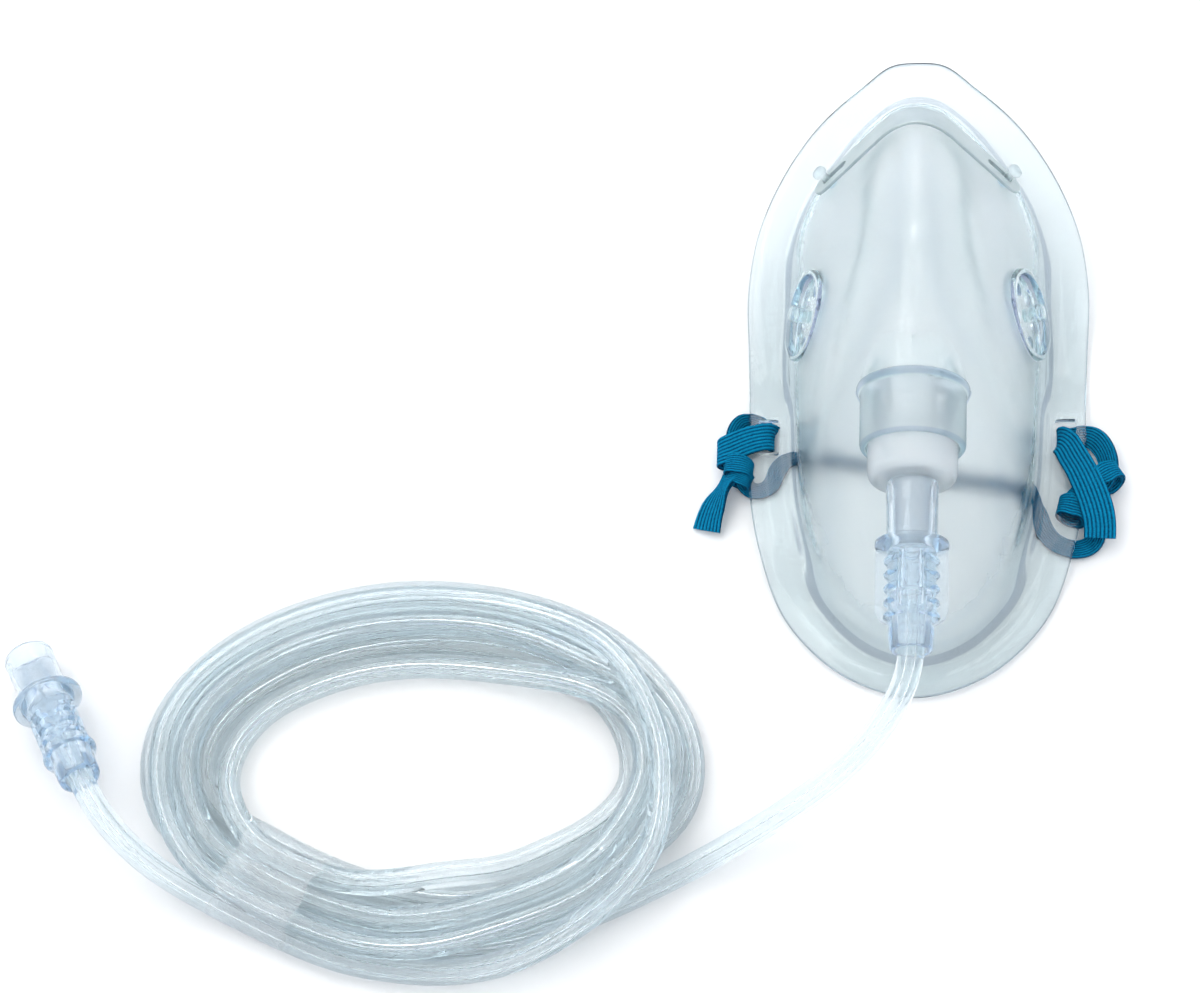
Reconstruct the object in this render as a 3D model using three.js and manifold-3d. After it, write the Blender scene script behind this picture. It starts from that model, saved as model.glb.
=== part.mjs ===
// Oxygen face mask with supply tubing.
// Millimetres, +Z up. The mask lies on its rim on the plane z = 0 with the dome up:
// +Y is the nose end, -Y the chin end, X = 0 the plane of symmetry.
// The origin is under the middle of the mask's bounding box, on the plane it rests on.
import * as THREE from 'three';
import { mergeVertices } from 'three/addons/utils/BufferGeometryUtils.js';
import Module from 'manifold-3d';

const wasm = await Module();
wasm.setup();

// ---------------------------------------------------------------- driving dimensions
const WALL = 1.4;              // moulded soft shell
const NOSE_RISE = 22;          // height of the rim at the nose tip, the rim is curved in side view
const RIM_LIFT = 1.8;          // the rim is lifted a little where the strap passes under it
const TILT = THREE.MathUtils.degToRad(3); // the port points 3 degrees below level, towards the chin
const PORT = new THREE.Vector3(0, -31.75, 39); // centre of the port collar's open end
const COLLAR_OD = 22;
const COLLAR_ID = 19.2;
const COLLAR_LEN = 15.2;        // from the dome to the open end
const TURRET_OD = 18.6;        // swivel adapter, its visible part
const TURRET_OUT = 7.2;        // how far its end face stands out of the collar
const SOCKET_OD = 10.7;        // cup end of the tube connectors
const SOCKET_LEN = 13.0;
const FLANGE_OD = 15.2;
const CONN_LEN = 36.2;         // whole tube connector
const TUBE_OD = 5.4;
const VENT_R = 10.2;           // outer radius of a vent's ring
const VENT_WELL_R = 9.0;
const VENT_HOLE_R = 1.35;
const VENT_HOLE_PCR = 5.9;
const SLOT = { x0: 29.8, x1: 34.3, y0: -15.4, y1: -7.3 }; // strap slot in the rim flange
const STRAP_W = 6.5;
const STRAP_T = 1.0;
const CLIP_W = 5.8;
const CLIP_T = 0.8;
const COIL = { x: -104.0, y: -90.7, a: 52.1, b: 35.6, rx: 8.9, rz: 6.3 };
const SEG_U = 68;              // facets round the rim

// ---------------------------------------------------------------- helpers
const V = (x, y, z) => new THREE.Vector3(x, y, z);

function toManifold(geometry, matrix) {
  let g = geometry.clone();
  if (matrix) g.applyMatrix4(matrix);
  g.deleteAttribute('normal');
  g.deleteAttribute('uv');
  g = mergeVertices(g, 1e-4);
  const vertProperties = new Float32Array(g.attributes.position.array);
  const triVerts = new Uint32Array(g.index.array);
  return new wasm.Manifold(new wasm.Mesh({ numProp: 3, vertProperties, triVerts }));
}

function toGeometry(manifold) {
  const m = manifold.getMesh();
  const g = new THREE.BufferGeometry();
  g.setAttribute('position', new THREE.BufferAttribute(new Float32Array(m.vertProperties), 3));
  g.setIndex(new THREE.BufferAttribute(new Uint32Array(m.triVerts), 1));
  g.computeVertexNormals();
  return g;
}

// a lathe profile [radius, height] turned about +Z, closed on the axis
function lathe(profile, segments = 48) {
  return new THREE.LatheGeometry(profile.map(([r, h]) => new THREE.Vector2(r, h)), segments)
    .rotateX(Math.PI / 2);
}
// the lathe above is built about +Y, with rotateX it stands on +Z

// matrix that puts local +Z along dir and local +X along side, at origin
function place(origin, dir, side = V(1, 0, 0)) {
  const z = dir.clone().normalize();
  const x = side.clone().addScaledVector(z, -side.dot(z)).normalize();
  const y = z.clone().cross(x);
  return new THREE.Matrix4().makeBasis(x, y, z).setPosition(origin);
}

// solid swept through a list of equal rings of points
function loft(rings, closed = false) {
  const n = rings[0].length;
  const pos = [];
  const idx = [];
  for (const r of rings) for (const p of r) pos.push(p.x, p.y, p.z);
  const m = rings.length;
  const last = closed ? m : m - 1;
  for (let i = 0; i < last; i++) {
    const a = i * n;
    const b = ((i + 1) % m) * n;
    for (let j = 0; j < n; j++) {
      const k = (j + 1) % n;
      idx.push(a + j, a + k, b + k, a + j, b + k, b + j);
    }
  }
  if (!closed) {
    for (let j = 1; j < n - 1; j++) {
      idx.push(0, j + 1, j);
      idx.push((m - 1) * n, (m - 1) * n + j, (m - 1) * n + j + 1);
    }
  }
  const g = new THREE.BufferGeometry();
  g.setAttribute('position', new THREE.Float32BufferAttribute(pos, 3));
  g.setIndex(idx);
  g.computeVertexNormals();
  return g;
}

// flat band along points; normals give the thin direction at each point
function band(points, normals, widths, thick, closed = false) {
  const rings = points.map((p, i) => {
    const prev = points[Math.max(0, i - 1)];
    const next = points[Math.min(points.length - 1, i + 1)];
    const t = (closed
      ? points[(i + 1) % points.length].clone().sub(points[(i + points.length - 1) % points.length])
      : next.clone().sub(prev)).normalize();
    const n = normals[i].clone().addScaledVector(t, -normals[i].dot(t)).normalize();
    const b = t.clone().cross(n);
    const w = (Array.isArray(widths) ? widths[i] : widths) / 2;
    const h = thick / 2;
    return [
      p.clone().addScaledVector(b, w).addScaledVector(n, h),
      p.clone().addScaledVector(b, -w).addScaledVector(n, h),
      p.clone().addScaledVector(b, -w).addScaledVector(n, -h),
      p.clone().addScaledVector(b, w).addScaledVector(n, -h),
    ];
  });
  return loft(rings, closed);
}

// ---------------------------------------------------------------- the shell's surface
// Key sections from the nose tip round the right side to the chin. r is a point of the rim's
// outer edge, p are the points from the inner edge of the flange up the wall to the ridge.
const KEYS = [
  { r: [0, 71.15], p: [[0, 65.2, 0], [0, 63.6, 20.0], [0, 61.2, 23.0], [0, 58.6, 26.2], [0, 56.1, 28.8], [0, 53.4, 31.0], [0, 50.1, 33.2]] },
  { r: [5.4, 70.7], p: [[4.2, 64.3, 0], [3.7, 62.8, 19.9], [3.1, 60.4, 23.2], [2.5, 58.0, 26.6], [1.9, 55.8, 29.4], [1.2, 53.2, 31.6], [0, 50.0, 33.3]] },
  { r: [12.6, 66.2], p: [[9.3, 61.1, 0], [8.5, 59.9, 19.0], [7.4, 58.2, 22.6], [6.3, 56.2, 26.4], [5.0, 54.0, 29.6], [2.9, 51.9, 32.1], [0, 49.8, 33.7]] },
  { r: [21.6, 59.1], p: [[17.1, 54.5, 0], [16.0, 53.5, 14.9], [14.3, 51.7, 18.2], [12.1, 49.7, 22.4], [9.5, 47.6, 27.2], [5.6, 45.4, 33.0], [0, 43.8, 37.0]] },
  { r: [29.4, 49.2], p: [[24.2, 45.7, 0], [23.1, 45.0, 11.3], [21.5, 43.7, 15.0], [18.6, 41.7, 19.9], [12.6, 39.0, 26.4], [8.2, 37.4, 34.4], [0, 36.6, 40.1]] },
  { r: [35.1, 37.0], p: [[29.1, 34.3, 0], [27.9, 33.8, 7.4], [25.6, 32.7, 12.2], [20.8, 31.1, 19.4], [12.5, 29.4, 28.2], [8.6, 28.6, 37.0], [0, 28.2, 42.6]] },
  { r: [37.4, 22.6], p: [[29.3, 20.4, 0], [28.0, 20.2, 5.0], [25.1, 19.7, 11.6], [20.2, 19.1, 21.2], [12.8, 18.5, 30.6], [9.2, 18.2, 39.7], [0, 18.0, 45.8]] },
  { r: [37.0, 10.5], p: [[29.7, 9.6, 0], [28.5, 9.5, 3.5], [26.1, 9.3, 9.4], [21.4, 9.0, 20.4], [15.2, 8.7, 31.6], [10.4, 8.5, 41.2], [0, 8.4, 48.7]] },
  { r: [36.4, -4.2], p: [[29.0, -4.2, 0], [27.9, -4.2, 3.0], [25.6, -4.2, 9.8], [21.9, -4.2, 20.8], [17.4, -4.0, 33.2], [12.0, -3.0, 43.7], [0, -1.0, 51.0]] },
  { r: [36.3, -19.4], p: [[28.6, -19.4, 0], [27.4, -19.4, 3.2], [25.2, -18.8, 9.8], [22.4, -17.6, 18.8], [18.6, -14.8, 31.2], [12.6, -11.0, 44.2], [0, -6.0, 51.6]] },
  { r: [33.5, -37.9], p: [[26.6, -35.0, 0], [25.4, -34.3, 2.9], [23.2, -32.6, 8.8], [19.7, -29.0, 15.4], [16.0, -19.9, 27.2], [10.5, -14.6, 44.6], [0, -8.5, 51.6]] },
  { r: [27.0, -54.5], p: [[21.7, -49.4, 0], [20.6, -48.4, 2.8], [18.4, -45.6, 8.2], [14.8, -38.0, 14.8], [11.0, -21.9, 25.6], [7.5, -16.8, 44.8], [0, -9.8, 51.5]] },
  { r: [14.2, -66.8], p: [[11.1, -60.8, 0], [10.5, -59.5, 2.8], [9.3, -56.3, 7.6], [7.6, -44.4, 13.6], [5.6, -23.6, 24.2], [3.9, -17.8, 45.0], [0, -10.8, 51.3]] },
  { r: [0, -71.15], p: [[0, -64.3, 0], [0, -62.9, 2.8], [0, -59.2, 7.4], [0, -46.2, 13.2], [0, -24.2, 24.0], [0, -18.2, 45.2], [0, -11.4, 51.2]] },
];

const smooth01 = (t) => { const c = Math.min(1, Math.max(0, t)); return c * c * (3 - 2 * c); };
// height of the underside of the rim flange
function rimZ(y) {
  const nose = y > 0 ? NOSE_RISE * (y / 72) ** 1.8 : 0;
  return nose + RIM_LIFT * smooth01((y + 50) / 14) * smooth01((5 - y) / 12);
}

const ROWS = 8; // rim edge, flange's inner edge, six points up the wall to the ridge
const LOOP = (() => {
  const full = KEYS.map((k) => [V(k.r[0], k.r[1], 0), ...k.p.map((q) => V(...q))]);
  for (let i = KEYS.length - 2; i > 0; i--) {
    full.push(full[i].map((q) => V(-q.x, q.y, q.z)));
  }
  return full;
})();
const KNOTS = (() => {
  const t = [0];
  for (let i = 0; i < LOOP.length; i++) {
    t.push(t[i] + LOOP[i][0].distanceTo(LOOP[(i + 1) % LOOP.length][0]));
  }
  return t;
})();
const LENGTH = KNOTS[LOOP.length];

// tangent of a curve through uneven knots, from the parabola through three points
function tangent(p0, p1, p2, h0, h1) {
  return p1.clone().sub(p0).multiplyScalar(h1 / (h0 * (h0 + h1)))
    .addScaledVector(p2.clone().sub(p1), h0 / (h1 * (h0 + h1)));
}
function hermite(p0, m0, p1, m1, h, t) {
  const t2 = t * t;
  const t3 = t2 * t;
  return p0.clone().multiplyScalar(2 * t3 - 3 * t2 + 1)
    .addScaledVector(m0, h * (t3 - 2 * t2 + t))
    .addScaledVector(p1, -2 * t3 + 3 * t2)
    .addScaledVector(m1, h * (t3 - t2));
}
const N = LOOP.length;
const ROW_TANGENTS = [];
for (let k = 0; k < ROWS; k++) {
  ROW_TANGENTS.push(LOOP.map((s, i) => {
    const a = LOOP[(i + N - 1) % N][k];
    const b = LOOP[(i + 1) % N][k];
    const h0 = i > 0 ? KNOTS[i] - KNOTS[i - 1] : LENGTH - KNOTS[N - 1];
    const h1 = KNOTS[i + 1] - KNOTS[i];
    return tangent(a, s[k], b, h0, h1);
  }));
}
// the eight section points at the distance s round the rim
function section(s) {
  const u = ((s % LENGTH) + LENGTH) % LENGTH;
  let i = 0;
  while (i < N - 1 && KNOTS[i + 1] <= u) i++;
  const h = KNOTS[i + 1] - KNOTS[i];
  const t = (u - KNOTS[i]) / h;
  const j = (i + 1) % N;
  const q = [];
  for (let k = 0; k < ROWS; k++) {
    q.push(hermite(LOOP[i][k], ROW_TANGENTS[k][i], LOOP[j][k], ROW_TANGENTS[k][j], h, t));
  }
  q[0].z = rimZ(q[0].y) + WALL;
  q[1].z = rimZ(q[1].y) + WALL;
  return q;
}
// a point of the outer surface: s round the rim, v from 0 (rim edge) to 7 (ridge)
function surfacePoint(s, v) {
  const q = section(s);
  if (v <= 1) return q[0].clone().lerp(q[1], Math.max(0, v));
  q.push(V(-q[6].x, q[6].y, q[6].z));
  if (Math.abs(q[6].x) < 1e-6) q[8].copy(q[7]).multiplyScalar(2).sub(q[6]);
  const k = Math.min(6, Math.floor(v));
  const t = v - k;
  const tan = (i) => {
    if (i === 1) return q[1].clone().sub(q[0]).normalize();
    return tangent(q[i - 1], q[i], q[i + 1], q[i].distanceTo(q[i - 1]), q[i + 1].distanceTo(q[i]));
  };
  const h = q[k + 1].distanceTo(q[k]);
  return hermite(q[k], tan(k), q[k + 1], tan(k + 1), h, t);
}
function surfaceNormal(s, v) {
  const e = 0.02;
  const v1 = Math.min(7, v + e);
  const du = surfacePoint(s + 0.2, v).sub(surfacePoint(s - 0.2, v));
  const dv = surfacePoint(s, v1).sub(surfacePoint(s, Math.max(1.001, v1 - 2 * e)));
  const n = du.cross(dv).normalize();
  return n.z < 0 && v > 6.9 ? n.negate() : n;
}
const NORMAL_SIGN = surfaceNormal(KNOTS[7], 4).x > 0 ? 1 : -1;
function outward(s, v) {
  if (v > 6.999) {
    // on the ridge the normal lies in the plane of symmetry
    const p = surfacePoint(s, 7);
    const a = surfacePoint(s - 1.5, 7);
    const b = surfacePoint(s + 1.5, 7);
    const d = a.y > b.y ? a.sub(b) : b.sub(a);
    if (d.length() < 0.05 || Math.abs(p.x) > 1e-6) return V(0, 0.35, 0.94).normalize();
    d.x = 0;
    return V(0, -d.z, d.y).normalize();
  }
  return surfaceNormal(s, v).multiplyScalar(NORMAL_SIGN);
}
// foot of a point of the wall: the surface place nearest to target, searched near (s, v)
function nearest(target, s, v) {
  let best = surfacePoint(s, v).distanceTo(target);
  let ds = 3;
  let dv = 0.4;
  for (let k = 0; k < 60; k++) {
    let moved = false;
    for (const [a, b] of [[ds, 0], [-ds, 0], [0, dv], [0, -dv]]) {
      const nv = Math.min(6.95, Math.max(1.05, v + b));
      const d = surfacePoint(s + a, nv).distanceTo(target);
      if (d < best - 1e-9) { best = d; s += a; v = nv; moved = true; }
    }
    if (!moved) { ds /= 2; dv /= 2; }
  }
  return [s, v];
}

// ---------------------------------------------------------------- shell volumes
const V_STEPS = [1, 1.5, 2, 2.7, 3.4, 4, 4.6, 5.2, 5.7, 6.15, 6.6, 7];
const U_STEPS = (() => {
  // the same stations on both sides, the nose tip and the chin among them
  const half = SEG_U / 2;
  const s = [];
  for (let i = 0; i < SEG_U; i++) s.push(i <= half ? (i / half) * (LENGTH / 2) : LENGTH / 2 + ((i - half) / half) * (LENGTH / 2));
  return s;
})();

function capStrips(idx, base, count) {
  // closes a ring symmetric about x = 0 with strips between facing points; ring index 0 is the
  // nose tip, count / 2 the chin
  const half = count / 2;
  const R = (i) => base + i;
  const L = (i) => base + ((count - i) % count);
  idx.push(R(0), R(1), L(1));
  for (let i = 1; i < half - 1; i++) idx.push(R(i), R(i + 1), L(i + 1), R(i), L(i + 1), L(i));
  idx.push(R(half - 1), R(half), L(half - 1));
}

function shellVolume(rows, bottom) {
  // rows: rings from the lowest edge of the surface up to the ridge; bottom: ring under it
  const n = SEG_U;
  const pos = [];
  const idx = [];
  for (const p of bottom) pos.push(p.x, p.y, p.z);
  for (const r of rows) for (const p of r) pos.push(p.x, p.y, p.z);
  for (let k = 0; k < rows.length; k++) {
    const a = k * n;
    const b = (k + 1) * n;
    for (let i = 0; i < n; i++) {
      const j = (i + 1) % n;
      idx.push(a + i, b + j, a + j, a + i, b + i, b + j);
    }
  }
  capStrips(idx, 0, n);
  const g = new THREE.BufferGeometry();
  g.setAttribute('position', new THREE.Float32BufferAttribute(pos, 3));
  g.setIndex(idx);
  return g;
}

function weldRidge(rows) {
  // both halves share the ridge, so facing stations take the same point
  const top = rows[rows.length - 1];
  const n = SEG_U;
  for (let i = 1; i < n / 2; i++) {
    top[i].x = 0;
    top[n - i].copy(top[i]);
  }
  top[0].x = 0;
  top[n / 2].x = 0;
}

const outerRows = [];
outerRows.push(U_STEPS.map((s) => surfacePoint(s, 0)));
for (const v of V_STEPS) outerRows.push(U_STEPS.map((s) => surfacePoint(s, v)));
weldRidge(outerRows);
const rimBottom = outerRows[0].map((p) => V(p.x, p.y, rimZ(p.y)));

const innerRows = V_STEPS.map((v, k) => U_STEPS.map((s) => {
  const p = surfacePoint(s, v);
  if (k === 0) return V(p.x, p.y, rimZ(p.y));
  return p.addScaledVector(outward(s, v), -WALL);
}));
weldRidge(innerRows);
const innerBottom = innerRows[0].map((p) => V(p.x, p.y, rimZ(p.y) - 6));

function orient(g) {
  const m = toManifold(g);
  if (m.volume() > 0) return m;
  const i = g.index.array;
  for (let t = 0; t < i.length; t += 3) { const a = i[t]; i[t] = i[t + 1]; i[t + 1] = a; }
  return toManifold(g);
}
const outerVolume = orient(shellVolume(outerRows, rimBottom));
let cavity = orient(shellVolume(innerRows, innerBottom));

// ---------------------------------------------------------------- port collar
const AXIS = V(0, -Math.cos(TILT), -Math.sin(TILT));
const portPlace = place(PORT, AXIS); // local +Z along the axis outwards, z = 0 at the open end
const collarOuter = toManifold(lathe([
  [0, -22], [COLLAR_OD / 2, -22], [COLLAR_OD / 2, -COLLAR_LEN + 1.2],
  [COLLAR_OD / 2 + 0.7, -COLLAR_LEN + 1.6], [COLLAR_OD / 2 + 0.7, -COLLAR_LEN + 2.6], [COLLAR_OD / 2, -COLLAR_LEN + 3.2],
  [COLLAR_OD / 2 - 0.05, -0.6], [COLLAR_OD / 2 - 0.5, 0], [0, 0],
], 36), portPlace);
const collarBore = toManifold(lathe([
  [0, -30], [COLLAR_ID / 2 - 0.9, -30], [COLLAR_ID / 2 - 0.9, -COLLAR_LEN + 0.6], [COLLAR_ID / 2, -COLLAR_LEN + 1.4],
  [COLLAR_ID / 2, 1], [0, 1],
], 36), portPlace);

// ---------------------------------------------------------------- vents
const VENTS = [1, -1].map((side) => {
  const [s, v] = nearest(V(25.4, 13.4, 13.0), KNOTS[7], 3.4);
  const p = surfacePoint(s, v);
  const n = outward(s, v);
  if (side < 0) { p.x = -p.x; n.x = -n.x; }
  return place(p, n, V(0, 1, 0));
});
const ventBoss = lathe([[0, -2.9], [VENT_R, -2.9], [VENT_R, 3], [0, 3]], 24);
const ventRing = lathe([[0, -2.8], [VENT_R, -2.8], [VENT_R, 0.2], [VENT_R - 0.35, 0.55], [0, 0.55]], 24);
const ventWell = lathe([[0, -1.5], [VENT_WELL_R, -1.5], [VENT_WELL_R, 6], [0, 6]], 24);
const ventHole = lathe([[0, -6], [VENT_HOLE_R, -6], [VENT_HOLE_R, 6], [0, 6]], 8);
const ventPost = lathe([
  [0, -2], [1.45, -2], [1.45, 0.9], [1.85, 1.1], [1.85, 2.5], [1.3, 3.0], [0, 3.0],
], 8);

// ---------------------------------------------------------------- nose clip's seat
// The clip is a straight strip bent over the nose. Its width runs along CLIP_ACROSS everywhere,
// so its centre line lies in one plane.
const CLIP_LEAN = THREE.MathUtils.degToRad(30);
const CLIP_ACROSS = V(0, -Math.cos(CLIP_LEAN), Math.sin(CLIP_LEAN));
const CLIP_APEX = V(0, 49.8, 33.7);
// where the plane through the apex, across the strip, cuts the outer surface
function clipTrace(offset) {
  const pts = [];
  const f = (p) => p.clone().sub(CLIP_APEX).dot(CLIP_ACROSS) - offset;
  for (let i = 0; i <= 60; i++) {
    const s = 0.05 + (i / 60) * (KNOTS[5] - 0.05);
    let lo = 1.05;
    let hi = 7;
    if (f(surfacePoint(s, lo)) * f(surfacePoint(s, hi)) > 0) continue;
    for (let k = 0; k < 40; k++) {
      const mid = (lo + hi) / 2;
      if (f(surfacePoint(s, lo)) * f(surfacePoint(s, mid)) <= 0) hi = mid; else lo = mid;
    }
    pts.push(surfacePoint(s, (lo + hi) / 2));
  }
  return pts;
}
const CLIP_DOWN = V(0, -Math.sin(CLIP_LEAN), -Math.cos(CLIP_LEAN)); // down the legs, in the plane
const clipProfile = (() => {
  // highest of three traces over the strip's width, as depth below the apex for each x
  const traces = [-CLIP_W / 2, 0, CLIP_W / 2].map((o) => clipTrace(o)
    .map((p) => [p.x, p.clone().sub(CLIP_APEX).dot(CLIP_DOWN)]).sort((a, b) => a[0] - b[0]));
  const at = (tr, x) => {
    for (let i = 1; i < tr.length; i++) {
      if (tr[i][0] >= x) {
        const t = (x - tr[i - 1][0]) / Math.max(1e-9, tr[i][0] - tr[i - 1][0]);
        return tr[i - 1][1] + t * (tr[i][1] - tr[i - 1][1]);
      }
    }
    return tr[tr.length - 1][1];
  };
  const raw = [];
  for (let x = 0; x <= 21.5; x += 0.5) raw.push([x, Math.min(...traces.map((tr) => at(tr, Math.max(x, tr[0][0]))))]);
  // a metal strip bends smoothly: round the apex and keep the legs nearly straight, never under the surface
  const X0 = 7.6;
  const end = raw[raw.length - 1];
  const slope = (end[1] - raw[20][1]) / (end[0] - raw[20][0]);
  const out = raw.map(([x]) => [x, x < X0 ? slope * (x * x) / (2 * X0) : slope * (x - X0 / 2)]);
  let lift = Infinity;
  for (let i = 0; i < raw.length; i++) lift = Math.min(lift, raw[i][1] - out[i][1]);
  return out.map(([x, d]) => [x, d + lift]);
})();
const clipPoints = (() => {
  const right = clipProfile.map(([x, d]) => CLIP_APEX.clone().addScaledVector(CLIP_DOWN, d).add(V(x, 0, 0)));
  return [...right.slice(1).reverse().map((p) => V(-p.x, p.y, p.z)), ...right];
})();
const clipNormals = clipPoints.map((p, i) => {
  const a = clipPoints[Math.max(0, i - 1)];
  const b = clipPoints[Math.min(clipPoints.length - 1, i + 1)];
  const n = CLIP_ACROSS.clone().cross(b.clone().sub(a)).normalize();
  return n.z < 0 ? n.negate() : n;
});
const clipArc = [0];
for (let i = 1; i < clipPoints.length; i++) clipArc.push(clipArc[i - 1] + clipPoints[i].distanceTo(clipPoints[i - 1]));
const CLIP_LEN = clipArc[clipArc.length - 1];
function clipAt(d) {
  let i = 1;
  while (i < clipArc.length - 1 && clipArc[i] < d) i++;
  const t = (d - clipArc[i - 1]) / (clipArc[i] - clipArc[i - 1]);
  const p = clipPoints[i - 1].clone().lerp(clipPoints[i], t);
  const n = clipNormals[i - 1].clone().lerp(clipNormals[i], t).normalize();
  const tan = clipPoints[i].clone().sub(clipPoints[i - 1]).normalize();
  return { p, n, tan };
}
const CLIP_GAP = 0.3;
const clipStrip = (() => {
  const pts = [];
  const nrm = [];
  const wid = [];
  const r = CLIP_W / 2;
  const stations = [0, 0.35, 0.9, 1.7, r];
  const mids = 22;
  const list = [...stations];
  for (let i = 1; i < mids; i++) list.push(r + (i / mids) * (CLIP_LEN - 2 * r));
  list.push(...stations.slice().reverse().map((d) => CLIP_LEN - d));
  for (const d of list) {
    const { p, n } = clipAt(d);
    const e = Math.min(d, CLIP_LEN - d);
    const w = e >= r ? CLIP_W : 2 * Math.sqrt(Math.max(0.09, r * r - (r - e) ** 2));
    pts.push(p.addScaledVector(n, CLIP_GAP + CLIP_T / 2));
    nrm.push(n);
    wid.push(w);
  }
  return band(pts, nrm, wid, CLIP_T);
})();
const SLOT_FROM = 2.6; // the slots start this far from the strip's ends
const SLOT_TO = 10.0;
const PEG_AT = 4.0;
function clipSlotCutter(sign) {
  const at = (d) => clipAt(sign < 0 ? d : CLIP_LEN - d);
  const a = at(SLOT_FROM + 1.1);
  const b = at(SLOT_TO - 1.1);
  const dir = b.p.clone().sub(a.p);
  const len = dir.length();
  const shape = new THREE.Shape();
  shape.absarc(0, 0, 1.1, Math.PI / 2, Math.PI * 1.5, false);
  shape.absarc(len, 0, 1.1, -Math.PI / 2, Math.PI / 2, false);
  const g = new THREE.ExtrudeGeometry(shape, { depth: 8, bevelEnabled: false, curveSegments: 6 });
  g.translate(0, 0, -4);
  return toManifold(g, place(a.p, a.n, dir));
}
const PEG_R = 0.8;
const pegs = [-1, 1].map((sign) => {
  const { p, n } = clipAt(sign < 0 ? PEG_AT : CLIP_LEN - PEG_AT);
  return toManifold(lathe([[0, -1.6], [PEG_R, -1.6], [PEG_R, 2.6], [1.25, 2.9], [1.25, 3.9], [0.8, 4.4], [0, 4.4]], 10), place(p, n));
});

// ---------------------------------------------------------------- mask shell
function box(x0, x1, y0, y1, z0, z1) {
  return new THREE.BoxGeometry(x1 - x0, y1 - y0, z1 - z0).translate((x0 + x1) / 2, (y0 + y1) / 2, (z0 + z1) / 2);
}
let shell = outerVolume.add(collarOuter);
for (const m of VENTS) shell = shell.add(toManifold(ventRing, m));
// pegs stand on the outer surface
for (const p of pegs) shell = shell.add(p);
for (const m of VENTS) cavity = cavity.subtract(toManifold(ventBoss, m));
shell = shell.subtract(cavity).subtract(collarBore);
for (const m of VENTS) {
  shell = shell.subtract(toManifold(ventWell, m));
  for (let i = 0; i < 6; i++) {
    const a = (i / 6) * Math.PI * 2 + Math.PI / 6;
    const h = ventHole.clone().translate(VENT_HOLE_PCR * Math.cos(a), VENT_HOLE_PCR * Math.sin(a), 0);
    shell = shell.subtract(toManifold(h, m));
  }
  shell = shell.add(toManifold(ventPost, m));
}
for (const sx of [1, -1]) {
  const b = sx > 0 ? box(SLOT.x0, SLOT.x1, SLOT.y0, SLOT.y1, -3, 6) : box(-SLOT.x1, -SLOT.x0, SLOT.y0, SLOT.y1, -3, 6);
  shell = shell.subtract(toManifold(b));
}

// ---------------------------------------------------------------- nose clip
const clip = orient(clipStrip).subtract(clipSlotCutter(-1)).subtract(clipSlotCutter(1));

// ---------------------------------------------------------------- swivel adapter
// cap turning in the collar, with the jet nozzle that takes the tube connector
const adapter = (() => {
  const e = TURRET_OUT;
  const body = lathe([
    [0, -COLLAR_LEN + 2.0], [6.4, -COLLAR_LEN + 2.0], [6.4, -COLLAR_LEN + 1.7], [TURRET_OD / 2 - 0.8, -COLLAR_LEN + 1.7],
    [TURRET_OD / 2, -COLLAR_LEN + 2.6], [TURRET_OD / 2, e - 1.8], [TURRET_OD / 2 - 0.5, e - 0.6], [TURRET_OD / 2 - 1.6, e],
    [4.1, e], [3.55, e + 1.0], [3.2, e + 12.0], [2.7, e + 12.6], [0, e + 12.6],
  ], 28);
  const hollow = lathe([[0, -COLLAR_LEN - 1], [TURRET_OD / 2 - 1.9, -COLLAR_LEN - 1], [TURRET_OD / 2 - 1.9, e - 2.2], [TURRET_OD / 2 - 2.8, e - 1.5], [2.0, e - 1.5], [1.5, e + 13.2], [0, e + 13.2]], 28);
  // windows of the turret, inside the collar, that let room air reach the stream
  let m = toManifold(body).subtract(toManifold(hollow));
  return m.transform(portPlace.toArray());
})();

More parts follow.
